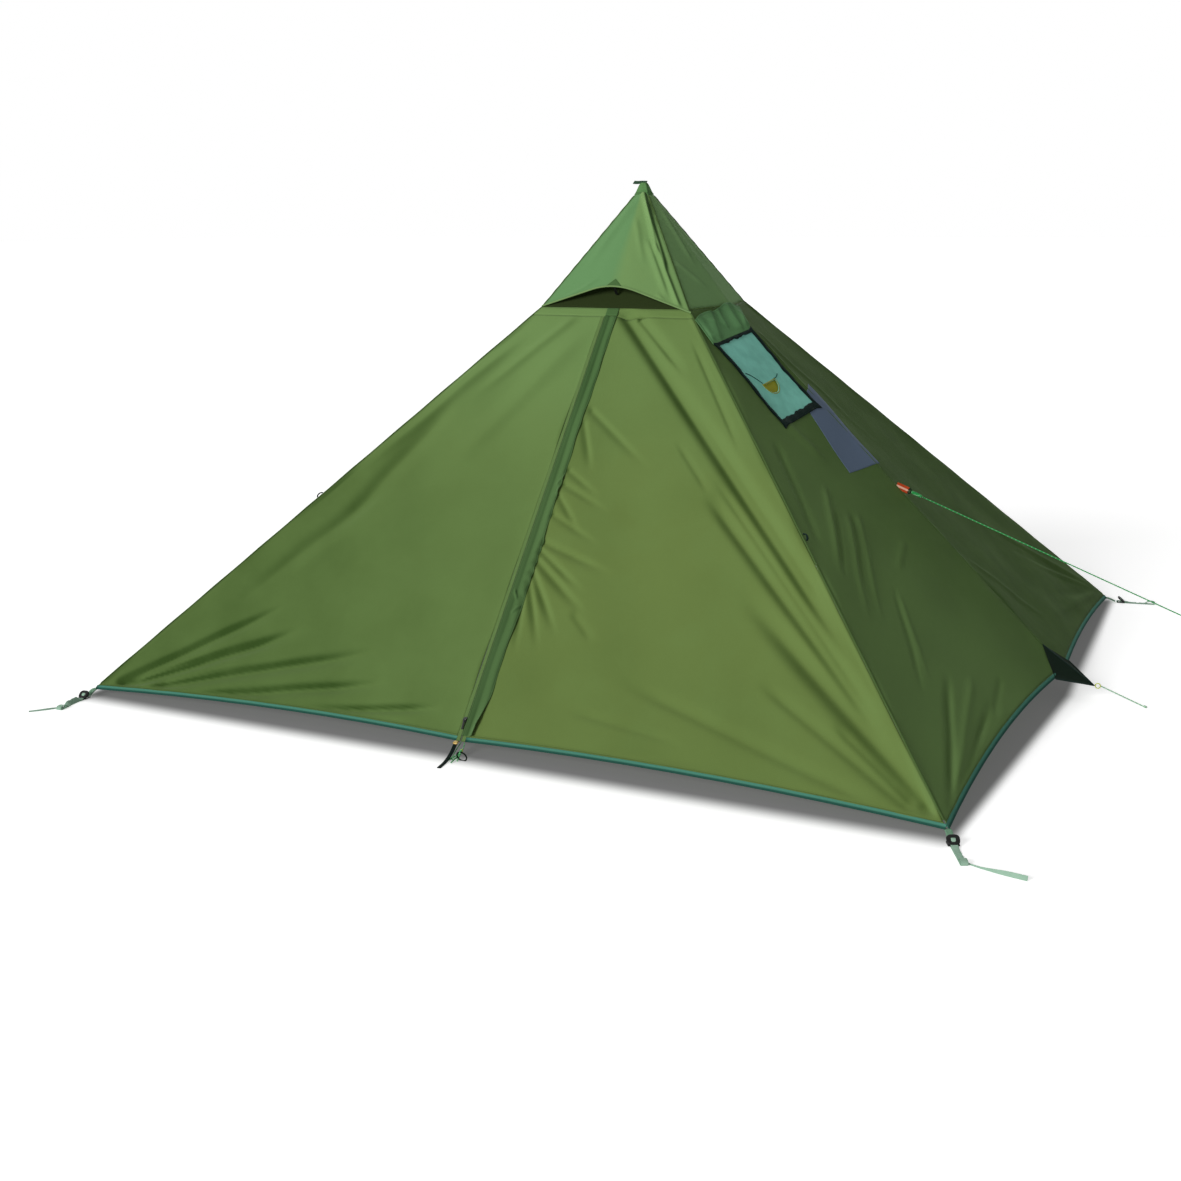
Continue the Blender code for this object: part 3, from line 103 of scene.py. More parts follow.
def size_of(vector: Array) -> float:
    """Length of one vector."""
    return float(np.linalg.norm(vector))


def facing(vector: Array, towards: Array) -> Array:
    """The vector, turned round if it looks away from towards."""
    return vector if vector @ towards > 0 else -vector


def run_of(path: Array) -> Array:
    """Length of a line of points up to each of them."""
    return np.concatenate([[0], np.cumsum(np.linalg.norm(np.diff(path, axis=0), axis=1))])


def arc(middle: Array, first: Array, second: Array, turn: Array) -> Array:
    """Points at middle + first * cos(turn) + second * sin(turn)."""
    return middle + first * np.cos(turn)[:, None] + second * np.sin(turn)[:, None]


def lay(base: Array, out: Array, up: Array, knots: Sequence, count: int) -> Array:
    """A smooth line of points through pairs of metres out and up from the base."""
    return curve_through(np.array([base + out * a + up * b for a, b in knots]), count)


def shares(columns: int, rows: int, across: tuple = (0, 1), down: tuple = (0, 1)) -> list[Array]:
    """The two values of a grid: one that runs along every row, one that runs down the rows."""
    return np.meshgrid(np.linspace(*across, columns), np.linspace(*down, rows))


def grid_quads(rows: int, columns: int, closed: bool = False) -> Array:
    """Vertex numbers of the four-sided faces of a grid.

    Args:
        rows: Count of grid rows.
        columns: Count of points in a row.
        closed: Whether each row runs round to its first point.

    Returns:
        Whole numbers, four to a face.
    """
    row = np.arange(rows - 1)[:, None] * columns
    column = np.arange(columns if closed else columns - 1)[None, :]
    after = (column + 1) % columns
    corners = [row + column, row + after, row + columns + after, row + columns + column]
    return np.stack(corners, -1).reshape(-1, 4)


def put_mesh(
    name: str,
    points: Array,
    faces: list[list[int]],
    finish: "Finish",
    uv: Optional[Array] = None,
    marks: Optional[dict[str, Array]] = None,
) -> bpy.types.Object:
    """Puts computed points and faces into a smooth mesh object at the origin.

    Args:
        name: Name of the piece.
        points: Points of the piece, any shape ending in three.
        faces: Vertex numbers of each face.
        finish: Its finish.
        uv: Two values a point, in metres along and across the cloth.
        marks: Named values, one a point.

    Returns:
        The object, linked to the scene.
    """
    mesh = bpy.data.meshes.new(name)
    mesh.from_pydata(points.reshape(-1, 3).tolist(), [], faces)
    if uv is not None:
        corners = np.zeros(len(mesh.loops), np.int32)
        mesh.loops.foreach_get("vertex_index", corners)
        layer = mesh.uv_layers.new(name="UVMap")
        layer.data.foreach_set("uv", uv.reshape(-1, 2)[corners].astype(np.float32).ravel())
    for label, values in (marks or {}).items():
        layer = mesh.attributes.new(label, "FLOAT", "POINT")
        layer.data.foreach_set("value", values.astype(np.float32).ravel())
    mesh.polygons.foreach_set("use_smooth", np.ones(len(mesh.polygons), bool))
    mesh.update()
    item = link(name, mesh)
    mesh.materials.append(finish.material())
    return item


def marks_of(run: Array, away: object = 0.03, warm: object = 0.0, **more: Array) -> dict[str, Array]:
    """The named values of a cloth: its run along and its distance from a seam, and its tints."""
    # The third value is a painted yellowish light; the further marks carry painted shade and painted
    # highlight.
    flat = np.zeros_like(run)
    return {"seam_away": flat + away, "seam_run": run, "warm": flat + warm, **more}


def turn_out(item: bpy.types.Object, outward: Array) -> None:
    """Turns the faces of an open sheet so that most of them look along outward."""
    mesh = item.data
    normals = np.zeros(len(mesh.polygons) * 3, np.float32)
    mesh.polygons.foreach_get("normal", normals)
    if (normals.reshape(-1, 3) @ outward).sum() < 0:
        mesh.flip_normals()


def thicken(item: bpy.types.Object, wall: float, outward: Array) -> None:
    """Turns an open sheet to look along outward and gives it a wall that goes inwards."""
    turn_out(item, outward)
    solidify = item.modifiers.new("wall", "SOLIDIFY")
    solidify.thickness, solidify.offset = wall, -1.0


def close_out(item: bpy.types.Object) -> None:
    """Turns the faces of a closed piece outwards, by the sign of its volume."""
    mesh = item.data
    mesh.calc_loop_triangles()
    points = np.zeros(len(mesh.vertices) * 3, np.float32)
    mesh.vertices.foreach_get("co", points)
    corners = np.zeros(len(mesh.loop_triangles) * 3, np.int32)
    mesh.loop_triangles.foreach_get("vertices", corners)
    triangles = points.reshape(-1, 3)[corners.reshape(-1, 3)].astype(float)
    triangles -= triangles.mean(axis=(0, 1))
    if np.linalg.det(triangles).sum() < 0:
        mesh.flip_normals()


def cloth(
    name: str,
    grid: Array,
    finish: "Finish",
    wall: float,
    outward: Array,
    uv: Array,
    marks: Optional[dict[str, Array]] = None,
    keep: Optional[Array] = None,
) -> bpy.types.Object:
    """A sheet whose outer surface is the grid and whose wall goes inwards.

    Args:
        name: Name of the piece.
        grid: Points, rows by columns by three.
        finish: Its finish.
        wall: Thickness in metres.
        outward: Direction that its outer side looks in.
        uv: Metres along and across, one pair a point.
        marks: Named values, one a point.
        keep: Which faces stay, where the sheet has a hole.

    Returns:
        The sheet.
    """
    quads = grid_quads(*grid.shape[:2])
    if keep is not None:
        quads = quads[keep.reshape(-1)]
        used = np.unique(quads)
        fresh = np.zeros(grid.shape[0] * grid.shape[1], int)
        fresh[used] = np.arange(len(used))
        quads = fresh[quads]
        grid = grid.reshape(-1, 3)[used]
        uv = uv.reshape(-1, 2)[used]
        marks = {k: v.reshape(-1)[used] for k, v in (marks or {}).items()}
    item = put_mesh(name, grid, quads.tolist(), finish, uv, marks)
    thicken(item, wall, outward)
    return item


def oval(width: float, height: float, count: int = 16, square: float = 0.5) -> Array:
    """A closed section between an oval and a rectangle: cosine and sine, each raised to a power below 1."""
    turn = np.arange(count) / count * TAU
    cosine, sine = np.cos(turn), np.sin(turn)
    across = np.sign(cosine) * np.abs(cosine) ** square * width / 2
    up = np.sign(sine) * np.abs(sine) ** square * height / 2
    return np.stack([across, up], -1)


def swept(name: str, path: Array, up: Array, section: Array, finish: "Finish") -> bpy.types.Object:
    """A closed section carried along a path: path + side * x + up * y at each point of the path.

    Args:
        name: Name of the piece.
        path: Points that the middle of the section follows.
        up: Direction of the section's second axis, one or one a point.
        section: Closed outline, across and up, in metres: one, or one a point of the path.
        finish: Its finish.

    Returns:
        The closed piece, with metres along and across as its UV.
    """
    along = unit(np.gradient(path, axis=0))
    up = np.broadcast_to(up, path.shape)
    side = unit(np.cross(along, up))
    up = np.cross(side, along)
    run = run_of(path)
    count = section.shape[-2]
    section = np.broadcast_to(section, (len(path), count, 2))
    grid = path[:, None] + side[:, None] * section[..., :1] + up[:, None] * section[..., 1:]
    faces = grid_quads(len(path), count, closed=True).tolist()
    faces += [list(range(count)), list(range((len(path) - 1) * count, len(path) * count))[::-1]]
    uv = np.stack([np.broadcast_to(run[:, None], grid.shape[:2]), section[..., 0]], -1)
    item = put_mesh(name, grid, faces, finish, uv)
    close_out(item)
    return item


def curve_through(knots: Array, count: int) -> Array:
    """A smooth line through the knots: Catmull-Rom spans, evened out by length.

    Args:
        knots: Points that the line passes.
        count: Count of points wanted.

    Returns:
        Points along the line.
    """
    padded = np.vstack([2 * knots[0] - knots[1], knots, 2 * knots[-1] - knots[-2]])
    share = np.linspace(0, 1, 24, endpoint=False)[:, None]
    spans = []
    for a, b, c, d in zip(padded, padded[1:], padded[2:], padded[3:]):
        bends = (2 * a - 5 * b + 4 * c - d) * share**2 + (3 * b - a - 3 * c + d) * share**3
        spans.append(0.5 * (2 * b + (c - a) * share + bends))
    line = np.vstack([*spans, knots[-1:]])
    run = run_of(line)
    even = np.linspace(0, run[-1], count)
    return np.stack([np.interp(even, run, line[:, k]) for k in range(3)], -1)


def link(name: str, data: bpy.types.ID) -> bpy.types.Object:
    """An object of this data, linked to the scene."""
    item = bpy.data.objects.new(name, data)
    bpy.context.scene.collection.objects.link(item)
    return item


def ruled_area(grid: Array) -> float:
    """Area of a grid surface, by the two diagonals of each of its cells."""
    first = grid[1:, 1:] - grid[:-1, :-1]
    second = grid[1:, :-1] - grid[:-1, 1:]
    return float(np.linalg.norm(np.cross(first, second), axis=-1).sum() / 2)


def ride(item: bpy.types.Object, body: str, *nodes: str) -> bpy.types.Object:
    """Puts the piece on its body, in place of these solids, and reports it."""
    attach(item, body)
    if nodes:
        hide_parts(*nodes)
    LOG.info("%s on %s, for %s", item.name, body, ", ".join(nodes) or "itself")
    return item


def strand(
    name: str, path: Array, up: Array, section: tuple, finish: "Finish", body: str, *nodes: str
) -> bpy.types.Object:
    """A swept oval that rides on its body; the section is given as oval takes it."""
    return ride(swept(name, path, up, oval(*section), finish), body, *nodes)


# Finishes


def linear(code: str) -> tuple[float, float, float, float]:
    """An sRGB hex colour as linear values with full alpha."""
    parts = np.array([int(code[k : k + 2], 16) / 255 for k in (1, 3, 5)])
    bright = np.where(parts <= 0.04045, parts / 12.92, ((parts + 0.055) / 1.055) ** 2.4)
    return (*(float(v) for v in bright), 1.0)


class Nodes:
    """A node tree, with short calls that add to it and return a result."""

    def __init__(self, tree: bpy.types.NodeTree) -> None:
        """Works on this tree."""
        self.tree = tree

    def add(self, kind: str, inputs: dict, **settings: object) -> bpy.types.Node:
        """Adds one node.

        Args:
            kind: Its type, without the ShaderNode prefix.
            inputs: Values, or sockets to link in, by socket name or number.
            settings: Properties of the node itself.

        Returns:
            The node.
        """
        node = self.tree.nodes.new("ShaderNode" + kind)
        for key, value in settings.items():
            setattr(node, key, value)
        for key, value in inputs.items():
            if isinstance(value, bpy.types.NodeSocket):
                self.tree.links.new(value, node.inputs[key])
            else:
                node.inputs[key].default_value = value
        return node

    def maths(self, operation: str, *terms: object) -> bpy.types.NodeSocket:
        """The result of one Math node on numbers or sockets."""
        return self.add("Math", dict(enumerate(terms)), operation=operation).outputs[0]

    def times(self, first: object, second: object) -> bpy.types.NodeSocket:
        """The product of two numbers or sockets."""
        return self.maths("MULTIPLY", first, second)

    def plus(self, first: object, second: object) -> bpy.types.NodeSocket:
        """The sum of two numbers or sockets."""
        return self.maths("ADD", first, second)

    def minus(self, first: object, second: object) -> bpy.types.NodeSocket:
        """The difference of two numbers or sockets."""
        return self.maths("SUBTRACT", first, second)

    def wave(self, value: object, length: float) -> bpy.types.NodeSocket:
        """A sine of this wave length."""
        return self.maths("SINE", self.times(value, TAU / length))

    def half(self, value: object) -> bpy.types.NodeSocket:
        """A value from -1..1 brought to 0..1."""
        return self.maths("MULTIPLY_ADD", value, 0.5, 0.5)

    def ramp(
        self, value: object, low: float, high: float, start: float = 0.0, end: float = 1.0, **settings: str
    ) -> bpy.types.NodeSocket:
        """A clamped Map Range of the value from low..high to start..end."""
        numbers = {"Value": value, "From Min": low, "From Max": high, "To Min": start, "To Max": end}
        return self.add("MapRange", numbers, **settings).outputs[0]

    def blend(self, factor: object, first: object, second: object) -> bpy.types.NodeSocket:
        """A colour mix; the factor is a value or socket, a colour a hex code or socket."""
        colours = [linear(c) if isinstance(c, str) else c for c in (first, second)]
        return self.add("Mix", {0: factor, 6: colours[0], 7: colours[1]}, data_type="RGBA").outputs[2]

    def place(self, kind: str = "Object") -> bpy.types.NodeSocket:
        """Texture coordinates of this kind."""
        return self.add("TexCoord", {}).outputs[kind]

    def flat(self) -> tuple[bpy.types.NodeSocket, bpy.types.NodeSocket]:
        """Metres along and across the cloth, from the UV map."""
        apart = self.add("SeparateXYZ", {0: self.place("UV")}).outputs
        return apart[0], apart[1]

    def noise(self, scale: float, detail: float, **more: float) -> bpy.types.NodeSocket:
        """A noise in object space."""
        inputs = {"Scale": scale, "Detail": detail, "Vector": self.place(), **more}
        return self.add("TexNoise", inputs).outputs[0]

    def mark(self, name: str) -> bpy.types.NodeSocket:
        """A value that the mesh carries at its points."""
        return self.add("Attribute", {}, attribute_name=name).outputs["Fac"]


@dataclass(frozen=True)
class Finish:
    """A surface finish. Each kind overrides paint, which returns colour, height and their depth."""

    name: str
    slot: str
    colour: str
    roughness: float = 0.7
    metallic: float = 0.0
    specular: float = 0.03

    def material(self) -> bpy.types.Material:
        """The finish as a material, made once."""
        found = bpy.data.materials.get(self.name)
        if found:
            return found
        material = bpy.data.materials.new(self.name)
        material.use_nodes = True
        tree = material.node_tree
        sockets = tree.nodes["Principled BSDF"].inputs
        numbers = (
            ("Roughness", self.roughness), ("Metallic", self.metallic), ("Specular IOR Level", self.specular)
        )
        for key, value in numbers:
            sockets[key].default_value = value
        nodes = Nodes(tree)
        colour, height, depth = self.paint(nodes)
        tree.links.new(colour, sockets["Base Color"])
        bump = nodes.add("Bump", {"Strength": 1.0, "Distance": depth, "Height": height})
        tree.links.new(bump.outputs[0], sockets["Normal"])
        return material

    def paint(self, n: Nodes) -> tuple:
        """Colour socket, height socket and the height's depth in metres."""
        raise NotImplementedError


@dataclass(frozen=True)
class CoatedCloth(Finish):
    """Silicone-coated ripstop nylon: a smooth film over a fine weave, crossed by thicker threads 5 mm apart.

    To the eye it is an even colour with a soft sheen, cloudy where the cloth is slack, with tiny
    crinkles, and darker along its seams, where two rows of lockstitch show. Over this, attributes of
    the mesh add painted shade, a painted highlight and a painted yellowish light.
    """

    # Colours of the painted shade, the painted yellowish light and the painted highlight.
    dim: str = "#385022"
    warm: str = "#6d8246"
    lit: str = "#8aa86a"
    ripstop: float = 0.005
    crinkle: float = 0.0011
    stitch: float = 0.0035
    stitch_row: float = 0.0042
    seam: float = 0.0115

    def paint(self, n: Nodes) -> tuple:
        """Clouds 150 mm wide, ripstop lines 5 mm apart, crinkles 14 mm long and stitches of 3.5 mm.

        Attributes paint light and shade into the colour: warm yellows it as a painted
        yellowish light, dim darkens it as painted shade in creases and on faces turned from the
        light, and lit pales it as a painted highlight on fold crowns that face the light.
        """
        clouds = n.ramp(n.noise(6.5, 3.0, Roughness=0.55), 0.35, 0.65, 0.90, 1.06)
        colour = linear(self.colour)
        # Painted light and shade: the colour is blended towards the painted yellowish light, the painted
        # highlight and the painted shade, by the mesh's attributes.
        for label, other in (("warm", self.warm), ("lit", self.lit), ("dim", self.dim)):
            colour = n.blend(n.times(n.mark(label), clouds), colour, other)
        brick = {"Scale": 1.0, "Mortar Size": 0.00045, "Mortar Smooth": 0.6, "Vector": n.place("UV")}
        size = {"Brick Width": self.ripstop, "Row Height": self.ripstop}
        lines = n.add("TexBrick", {**brick, **size}, offset=0.0).outputs["Fac"]
        colour = n.blend(n.times(lines, 0.10), colour, "#26361c")
        away = n.mark("seam_away")
        row = n.maths("COMPARE", n.maths("PINGPONG", away, 0.005), self.stitch_row, 0.0006)
        rows = n.times(row, n.maths("LESS_THAN", away, self.seam))
        part = n.maths("FRACT", n.maths("DIVIDE", n.mark("seam_run"), self.stitch))
        stitch = n.times(n.times(rows, n.maths("LESS_THAN", part, 0.66)), 0.35)
        shade = n.ramp(away, self.seam - 0.001, self.seam + 0.002, 0.10, 0.0)
        colour = n.blend(stitch, n.blend(shade, colour, "#22331d"), "#1f2d1b")
        fine = n.noise(70.0, 4.0, Roughness=0.6, Distortion=0.8)
        height = n.plus(n.times(fine, 0.35), n.noise(17.0, 2.0))
        height = n.minus(n.plus(height, n.times(lines, 0.06)), stitch)
        return colour, height, self.crinkle


@dataclass(frozen=True)
class WovenTape(Finish):
    """Woven nylon tape or webbing: ribs across it, picks along it and a denser edge.

    To the eye it is matt, with a fine regular rib, paler on the crowns of the threads.
    """

    width: float = 0.020
    rib: float = 0.0022
    pick: float = 0.0014
    dark: str = "#1b3a30"
    stripe: str = ""
    lit_edge: str = ""

    def paint(self, n: Nodes) -> tuple:
        """Ribs at their real spacing of 2.2 mm, picks of 1.4 mm, an edge cord 1.5 mm wide."""
        along, across = n.flat()
        weave = n.half(n.times(n.wave(along, self.pick), n.wave(across, self.rib)))
        shade = n.times(weave, n.ramp(n.noise(55.0, 3.0), 0.3, 0.7, 0.35, 0.65))
        colour = n.blend(shade, self.colour, self.dark)
        aside = n.maths("ABSOLUTE", across)
        if self.stripe:
            colour = n.blend(n.maths("LESS_THAN", aside, self.width * 0.14), colour, self.stripe)
        # Painted highlight: one half of the tape's width, the upper edge of the hem, is paled where the light
        # falls on its rounded top.
        if self.lit_edge:
            colour = n.blend(n.ramp(across, self.width * -0.20, self.width * 0.10), colour, self.lit_edge)
        edge = n.ramp(aside, self.width / 2 - 0.0018, self.width / 2 - 0.0006, 0.0, 0.35)
        return n.blend(edge, colour, self.dark), weave, 0.00025


@dataclass(frozen=True)
class BraidedCord(Finish):
    """Braided nylon cord: strands crossing each other round a core, with a pale tracer strand."""

    tracer: str = "#9fc9a2"
    gap_painted_shade: str = "#0d2a16"
    pitch: float = 0.0036
    radius: float = 0.0011

    def paint(self, n: Nodes) -> tuple:
        """Two families of strands, from length and place round the cord, crossing every 3.6 mm."""
        flat = n.flat()
        along, across = n.times(flat[0], TAU / self.pitch), n.times(flat[1], TAU / (self.radius * 1.6))
        strands = [n.maths("SINE", value) for value in (n.plus(along, across), n.minus(along, across))]
        height = n.half(n.maths("MAXIMUM", *strands))
        # Painted shade: the colour darkens towards the hollows between the strands.
        colour = n.blend(n.ramp(height, 0.2, 0.9, 0.55, 0.0), self.colour, self.gap_painted_shade)
        tracer = n.maths("GREATER_THAN", n.maths("SINE", n.times(along, 0.25)), 0.80)
        return n.blend(n.times(tracer, 0.65), colour, self.tracer), height, GAP


@dataclass(frozen=True)
class KnittedNet(Finish):
    """Fine knitted nylon net, 1.2 mm open, drawn 4 mm open so that it shows.

    To the eye it is near black, with paler threads where it turns to the light. It is drawn opaque:
    its near-black ground between the threads is painted shade for the dark inside seen through the net.
    """

    thread: str = "#3c4a38"
    spacing: float = 0.004

    def paint(self, n: Nodes) -> tuple:
        """Threads in a diamond grid, from the sum and the difference of the two UV metres."""
        flat = n.flat()
        waves = [
            n.maths("ABSOLUTE", n.wave(value, 2 * self.spacing)) for value in (n.plus(*flat), n.minus(*flat))
        ]
        thread = n.ramp(n.maths("MINIMUM", *waves), 0.10, 0.45, 1.0, 0.0)
        return n.blend(n.times(thread, 0.55), self.colour, self.thread), thread, GAP


@dataclass(frozen=True)
class HeatCloth(Finish):
    """Coated glass-fibre heat cloth: a plain weave of flat yarns under a matt film.

    To the eye it is an even teal with a dull shine and a soft quilted grain.
    """

    dark: str = "#4b8375"
    yarn: float = 0.0030

    def paint(self, n: Nodes) -> tuple:
        """Yarns of 1.5 mm, drawn 3 mm wide so that they show; broad soft dents."""
        weave = n.half(n.times(*(n.wave(value, self.yarn) for value in n.flat())))
        dents = n.noise(22.0, 2.0)
        shade = n.plus(n.times(weave, 0.25), n.ramp(dents, 0.35, 0.7, 0.0, 0.6))
        return n.blend(shade, self.colour, self.dark), n.plus(n.times(weave, 0.15), dents), 0.0012


@dataclass(frozen=True)
class Moulded(Finish):
    """Moulded plastic or rubber: an even colour, a fine spark-eroded grain and edges scuffed paler."""

    worn: str = "#2a2f2c"
    grain: float = 900.0

    def paint(self, n: Nodes) -> tuple:
        """Grain of about 1 mm, and scuffs from a broad noise."""
        scuff = n.ramp(n.noise(60.0, 4.0), 0.5, 0.75, 0.0, 0.5)
        return n.blend(scuff, self.colour, self.worn), n.noise(self.grain, 2.0), 0.00008


@dataclass(frozen=True)
class DrawnMetal(Finish):
    """Drawn and anodised tube or dark die-cast zinc: satin, with fine lines along the draw."""

    worn: str = "#8e9192"

    def paint(self, n: Nodes) -> tuple:
        """Lines of 0.4 mm stretched 100 mm along Z."""
        along = n.add("Mapping", {"Scale": (2500.0, 2500.0, 10.0), "Vector": n.place()}).outputs[0]
        lines = n.add("TexNoise", {"Scale": 1.0, "Detail": 2.0, "Vector": along}).outputs[0]
        smear = n.ramp(n.noise(30.0, 3.0), 0.4, 0.7, 0.0, 0.6)
        return n.blend(smear, self.colour, self.worn), lines, 0.00004


CANOPY = CoatedCloth("coated_ripstop_nylon", "coated_ripstop", "#6e8c52")
CAP_CLOTH = CoatedCloth(
    "cap_ripstop_nylon", "cap_ripstop", "#66905d", warm="#73945a", dim="#3b5a30", lit="#93b878"
)
FLAP_CLOTH = CoatedCloth(
    "flap_coated_nylon", "flap_ripstop", "#4a6a3d", warm="#5f7d4b", dim="#2c4527", lit="#6f9260"
)
COVER_CLOTH = CoatedCloth("cover_ripstop_nylon", "cap_ripstop", "#6d9f68", dim="#35562f", lit="#92c48f")
CROWN_CLOTH = CoatedCloth("crown_patch_nylon", "flap_ripstop", "#5c8851", crinkle=0.003)
BRIM_CLOTH = CoatedCloth("hood_brim_roll", "cap_ripstop", "#7b9a62")
BARE_PATCH = CoatedCloth("bare_patch_cloth", "coated_ripstop", "#6a7b91", dim="#56657a", crinkle=0.0006)
HEM_TAPE = WovenTape(
    "grosgrain_hem_tape", "binding_tape", "#29564a", width=0.016, dark="#173a32", lit_edge="#4c8673"
)
SEAM_CLOTH = WovenTape(
    "felled_ridge_seam", "coated_ripstop", "#5a7541", width=0.008, rib=0.004, dark="#42592f"
)
DARK_WEB = WovenTape("dark_nylon_webbing", "dark_webbing", "#22352f", dark="#0c1512")
TAB_WEB = WovenTape("pale_tab_webbing", "dark_webbing", "#7fa98b", dark="#557c62")
FLAP_WEB = WovenTape("green_crown_tape", "dark_webbing", "#33523a", dark="#1f3725", width=0.017)
PALE_WEB = WovenTape("pale_nylon_webbing", "pale_webbing", "#a8c9b3", dark="#749b83")
STRAP_WEB = WovenTape("black_strap_webbing", "dark_webbing", "#12201c", dark="#060a08", width=0.011)
TIE_WEB = WovenTape(
    "striped_tie_webbing", "tie_out_webbing", "#c04a24", dark="#8a2d13", width=0.024, rib=0.003,
    stripe="#dfae98"
)
JACK_BORDER = WovenTape("jack_border_tape", "dark_webbing", "#0f211d", dark="#060d0b", width=0.024)
# The nets' near-black ground colours are painted shade for the dark inside seen through them.
VENT_NET = KnittedNet("vent_knitted_net", "vent_net", "#28331a", thread="#3f4a26", roughness=0.85)
GUSSET_NET = KnittedNet("gusset_knitted_net", "vent_net", "#17231a", thread="#33453a", roughness=0.85)
HEAT_CLOTH = HeatCloth("coated_glass_cloth", "heat_cloth", "#95e6d2", dark="#7fcdb9", roughness=0.55)
GOLD_CLOTH = HeatCloth("woven_aramid_cloth", "aramid_cloth", "#abad38", dark="#93922c", roughness=0.6)
GUY_CORD = BraidedCord("braided_guy_cord", "guy_cord", "#36a657", roughness=0.55)
PALE_CORD = BraidedCord("pale_braided_cord", "pale_webbing", "#a4cfae", tracer="#cfe8d0", radius=0.0022)
STRAND = BraidedCord(
    "green_foot_strand", "guy_cord", "#4fae68", tracer="#a9dcae", roughness=0.55, radius=0.0022
)
BLACK_CORD = BraidedCord("black_braided_cord", "dark_webbing", "#101613", tracer="#101613", radius=0.0022)
ACETAL = Moulded(
    "moulded_black_acetal", "moulded_acetal", "#080a09", roughness=0.45, specular=0.18, worn="#181c1a"
)
YELLOW = Moulded(
    "moulded_yellow_ring", "ring_plastic", "#b8c43a", roughness=0.4, specular=0.5, worn="#8f9a2c"
)
BEAD = Moulded("moulded_strap_bead", "ring_plastic", "#d9b76a", roughness=0.45, specular=0.5, worn="#b98c4c")
DARK_ZIP = WovenTape("zip_tape_weave", "flap_ripstop", "#66814b", width=0.015, rib=0.0018, dark="#536c3c")
ZIP_COIL = Moulded(
    "extruded_nylon_coil", "flap_ripstop", "#3f5733", roughness=0.5, specular=0.3, worn="#4a633d"
)
HEAT_DARK = Moulded("teal_tie_thread", "heat_cloth", "#1c4a44", worn="#2a5a52")
THREAD = Moulded("nylon_lockstitch", "dark_webbing", "#1f322c", worn="#2a3f38")
RUBBER = Moulded("moulded_foot_rubber", "foot_rubber", "#1c1c1c", roughness=0.85, worn="#33322f")
ALUMINIUM = DrawnMetal(
    "anodised_drawn_tube", "drawn_aluminium", "#b9bdc0", roughness=0.32, metallic=1.0, specular=0.5
)
ZINC = DrawnMetal(
    "coated_cast_zinc", "slider_zinc", "#3b3e3c", roughness=0.4, metallic=1.0, specular=0.5, worn="#5a5d59"
)


# Corner points and faces of the pitched tent


@dataclass(frozen=True)
class Pitch:
    """Driving dimensions of the pitched tent and the corner points that they give."""

    half_width: float = 1.50
    half_depth: float = 1.36
    top: float = 1.71
    kink_height: float = 1.288
    foot_height: float = 0.020
    kink_share: float = 0.19
    side_kink_pull: float = 0.052
    side_foot_pull: float = 0.063
    side_foot_height: float = 0.090
    zip_aside: float = 0.022
    front_foot_drop: float = 0.022
    front_foot_height: float = 0.036
    hood_rise: float = 0.077
    hood_reach: float = 0.003
    header_drop: float = 0.026
    hem: float = 0.016

    def kink(self, side: int, end: int) -> Array:
        """Where a ridge bends."""
        share = self.kink_share
        return point(side * self.half_width * share, end * self.half_depth * share, self.kink_height)

    def corner(self, side: int, end: int) -> Array:
        """Foot of a ridge."""
        return point(side * self.half_width, end * self.half_depth, self.foot_height)

    def side_kink(self, side: int) -> Array:
        """Where a side's centre seam bends."""
        return point(side * (self.half_width * self.kink_share + self.side_kink_pull), 0, self.kink_height)

    def side_foot(self, side: int) -> Array:
        """Foot of a side's centre seam."""
        return point(side * (self.half_width + self.side_foot_pull), 0, self.side_foot_height)

    def side_seam(self, side: int, height: float) -> Array:
        """The point of a side's centre seam at this height."""
        fall = (self.kink_height - height) / (self.kink_height - self.side_foot_height)
        return mix(self.side_kink(side), self.side_foot(side), fall)

    @property
    def apex(self) -> Array:
        """The tip of the tent."""
        return point(0, 0, self.top)

    @property
    def zip_top(self) -> Array:
        """Top of the zip line, on the kink."""
        return point(-self.zip_aside, -self.half_depth * self.kink_share, self.kink_height)

    @property
    def zip_foot(self) -> Array:
        """Foot of the zip line."""
        return point(-self.zip_aside, -self.half_depth + self.front_foot_drop, self.front_foot_height)

    @property
    def hood_peak(self) -> Array:
        """Middle of the hood's brim."""
        return point(
            0, -self.half_depth * self.kink_share - self.hood_reach, self.kink_height + self.hood_rise
        )

    @property
    def header_share(self) -> float:
        """How far down the front the fixed header goes."""
        return self.header_drop / (self.kink_height - self.front_foot_height)


PITCH = Pitch()
UP_X, UP_Y, UP_Z = np.eye(3)
GAP = 0.0003
FRONT_SLOPE = 1.6532
CAP_WIDTH = 0.57
ZIP_DOWN = unit(PITCH.zip_foot - PITCH.zip_top)
FRONT_OUT = point(0, ZIP_DOWN[2], -ZIP_DOWN[1])


@dataclass(frozen=True)
class Fold:
    """One fold: a ridge or valley along a line, in metres across and down a face.

    Its height falls off either side as exp(-(distance / width)^2), where the side to the left of
    its direction is lee times as wide, and it fades in and out along its length.
    """

    start: tuple[float, float]
    end: tuple[float, float]
    height: float
    width: float
    lee: float = 1.0
    fade_in: float = 0.12
    fade_out: float = 0.12

    def relief(self, across: Array, down: Array) -> Array:
        """Height of the fold at these places of the face."""
        run = point(self.end[0] - self.start[0], self.end[1] - self.start[1])
        length = size_of(run)
        ux, uy = run / length
        dx, dy = across - self.start[0], down - self.start[1]
        aside = dy * ux - dx * uy
        along = (dx * ux + dy * uy) / length
        width = np.where(aside > 0, self.width * self.lee, self.width)
        faded = smooth(along, 0, self.fade_in) * (1 - smooth(along, 1 - self.fade_out, 1))
        return self.height * np.exp(-((aside / width) ** 2)) * faded


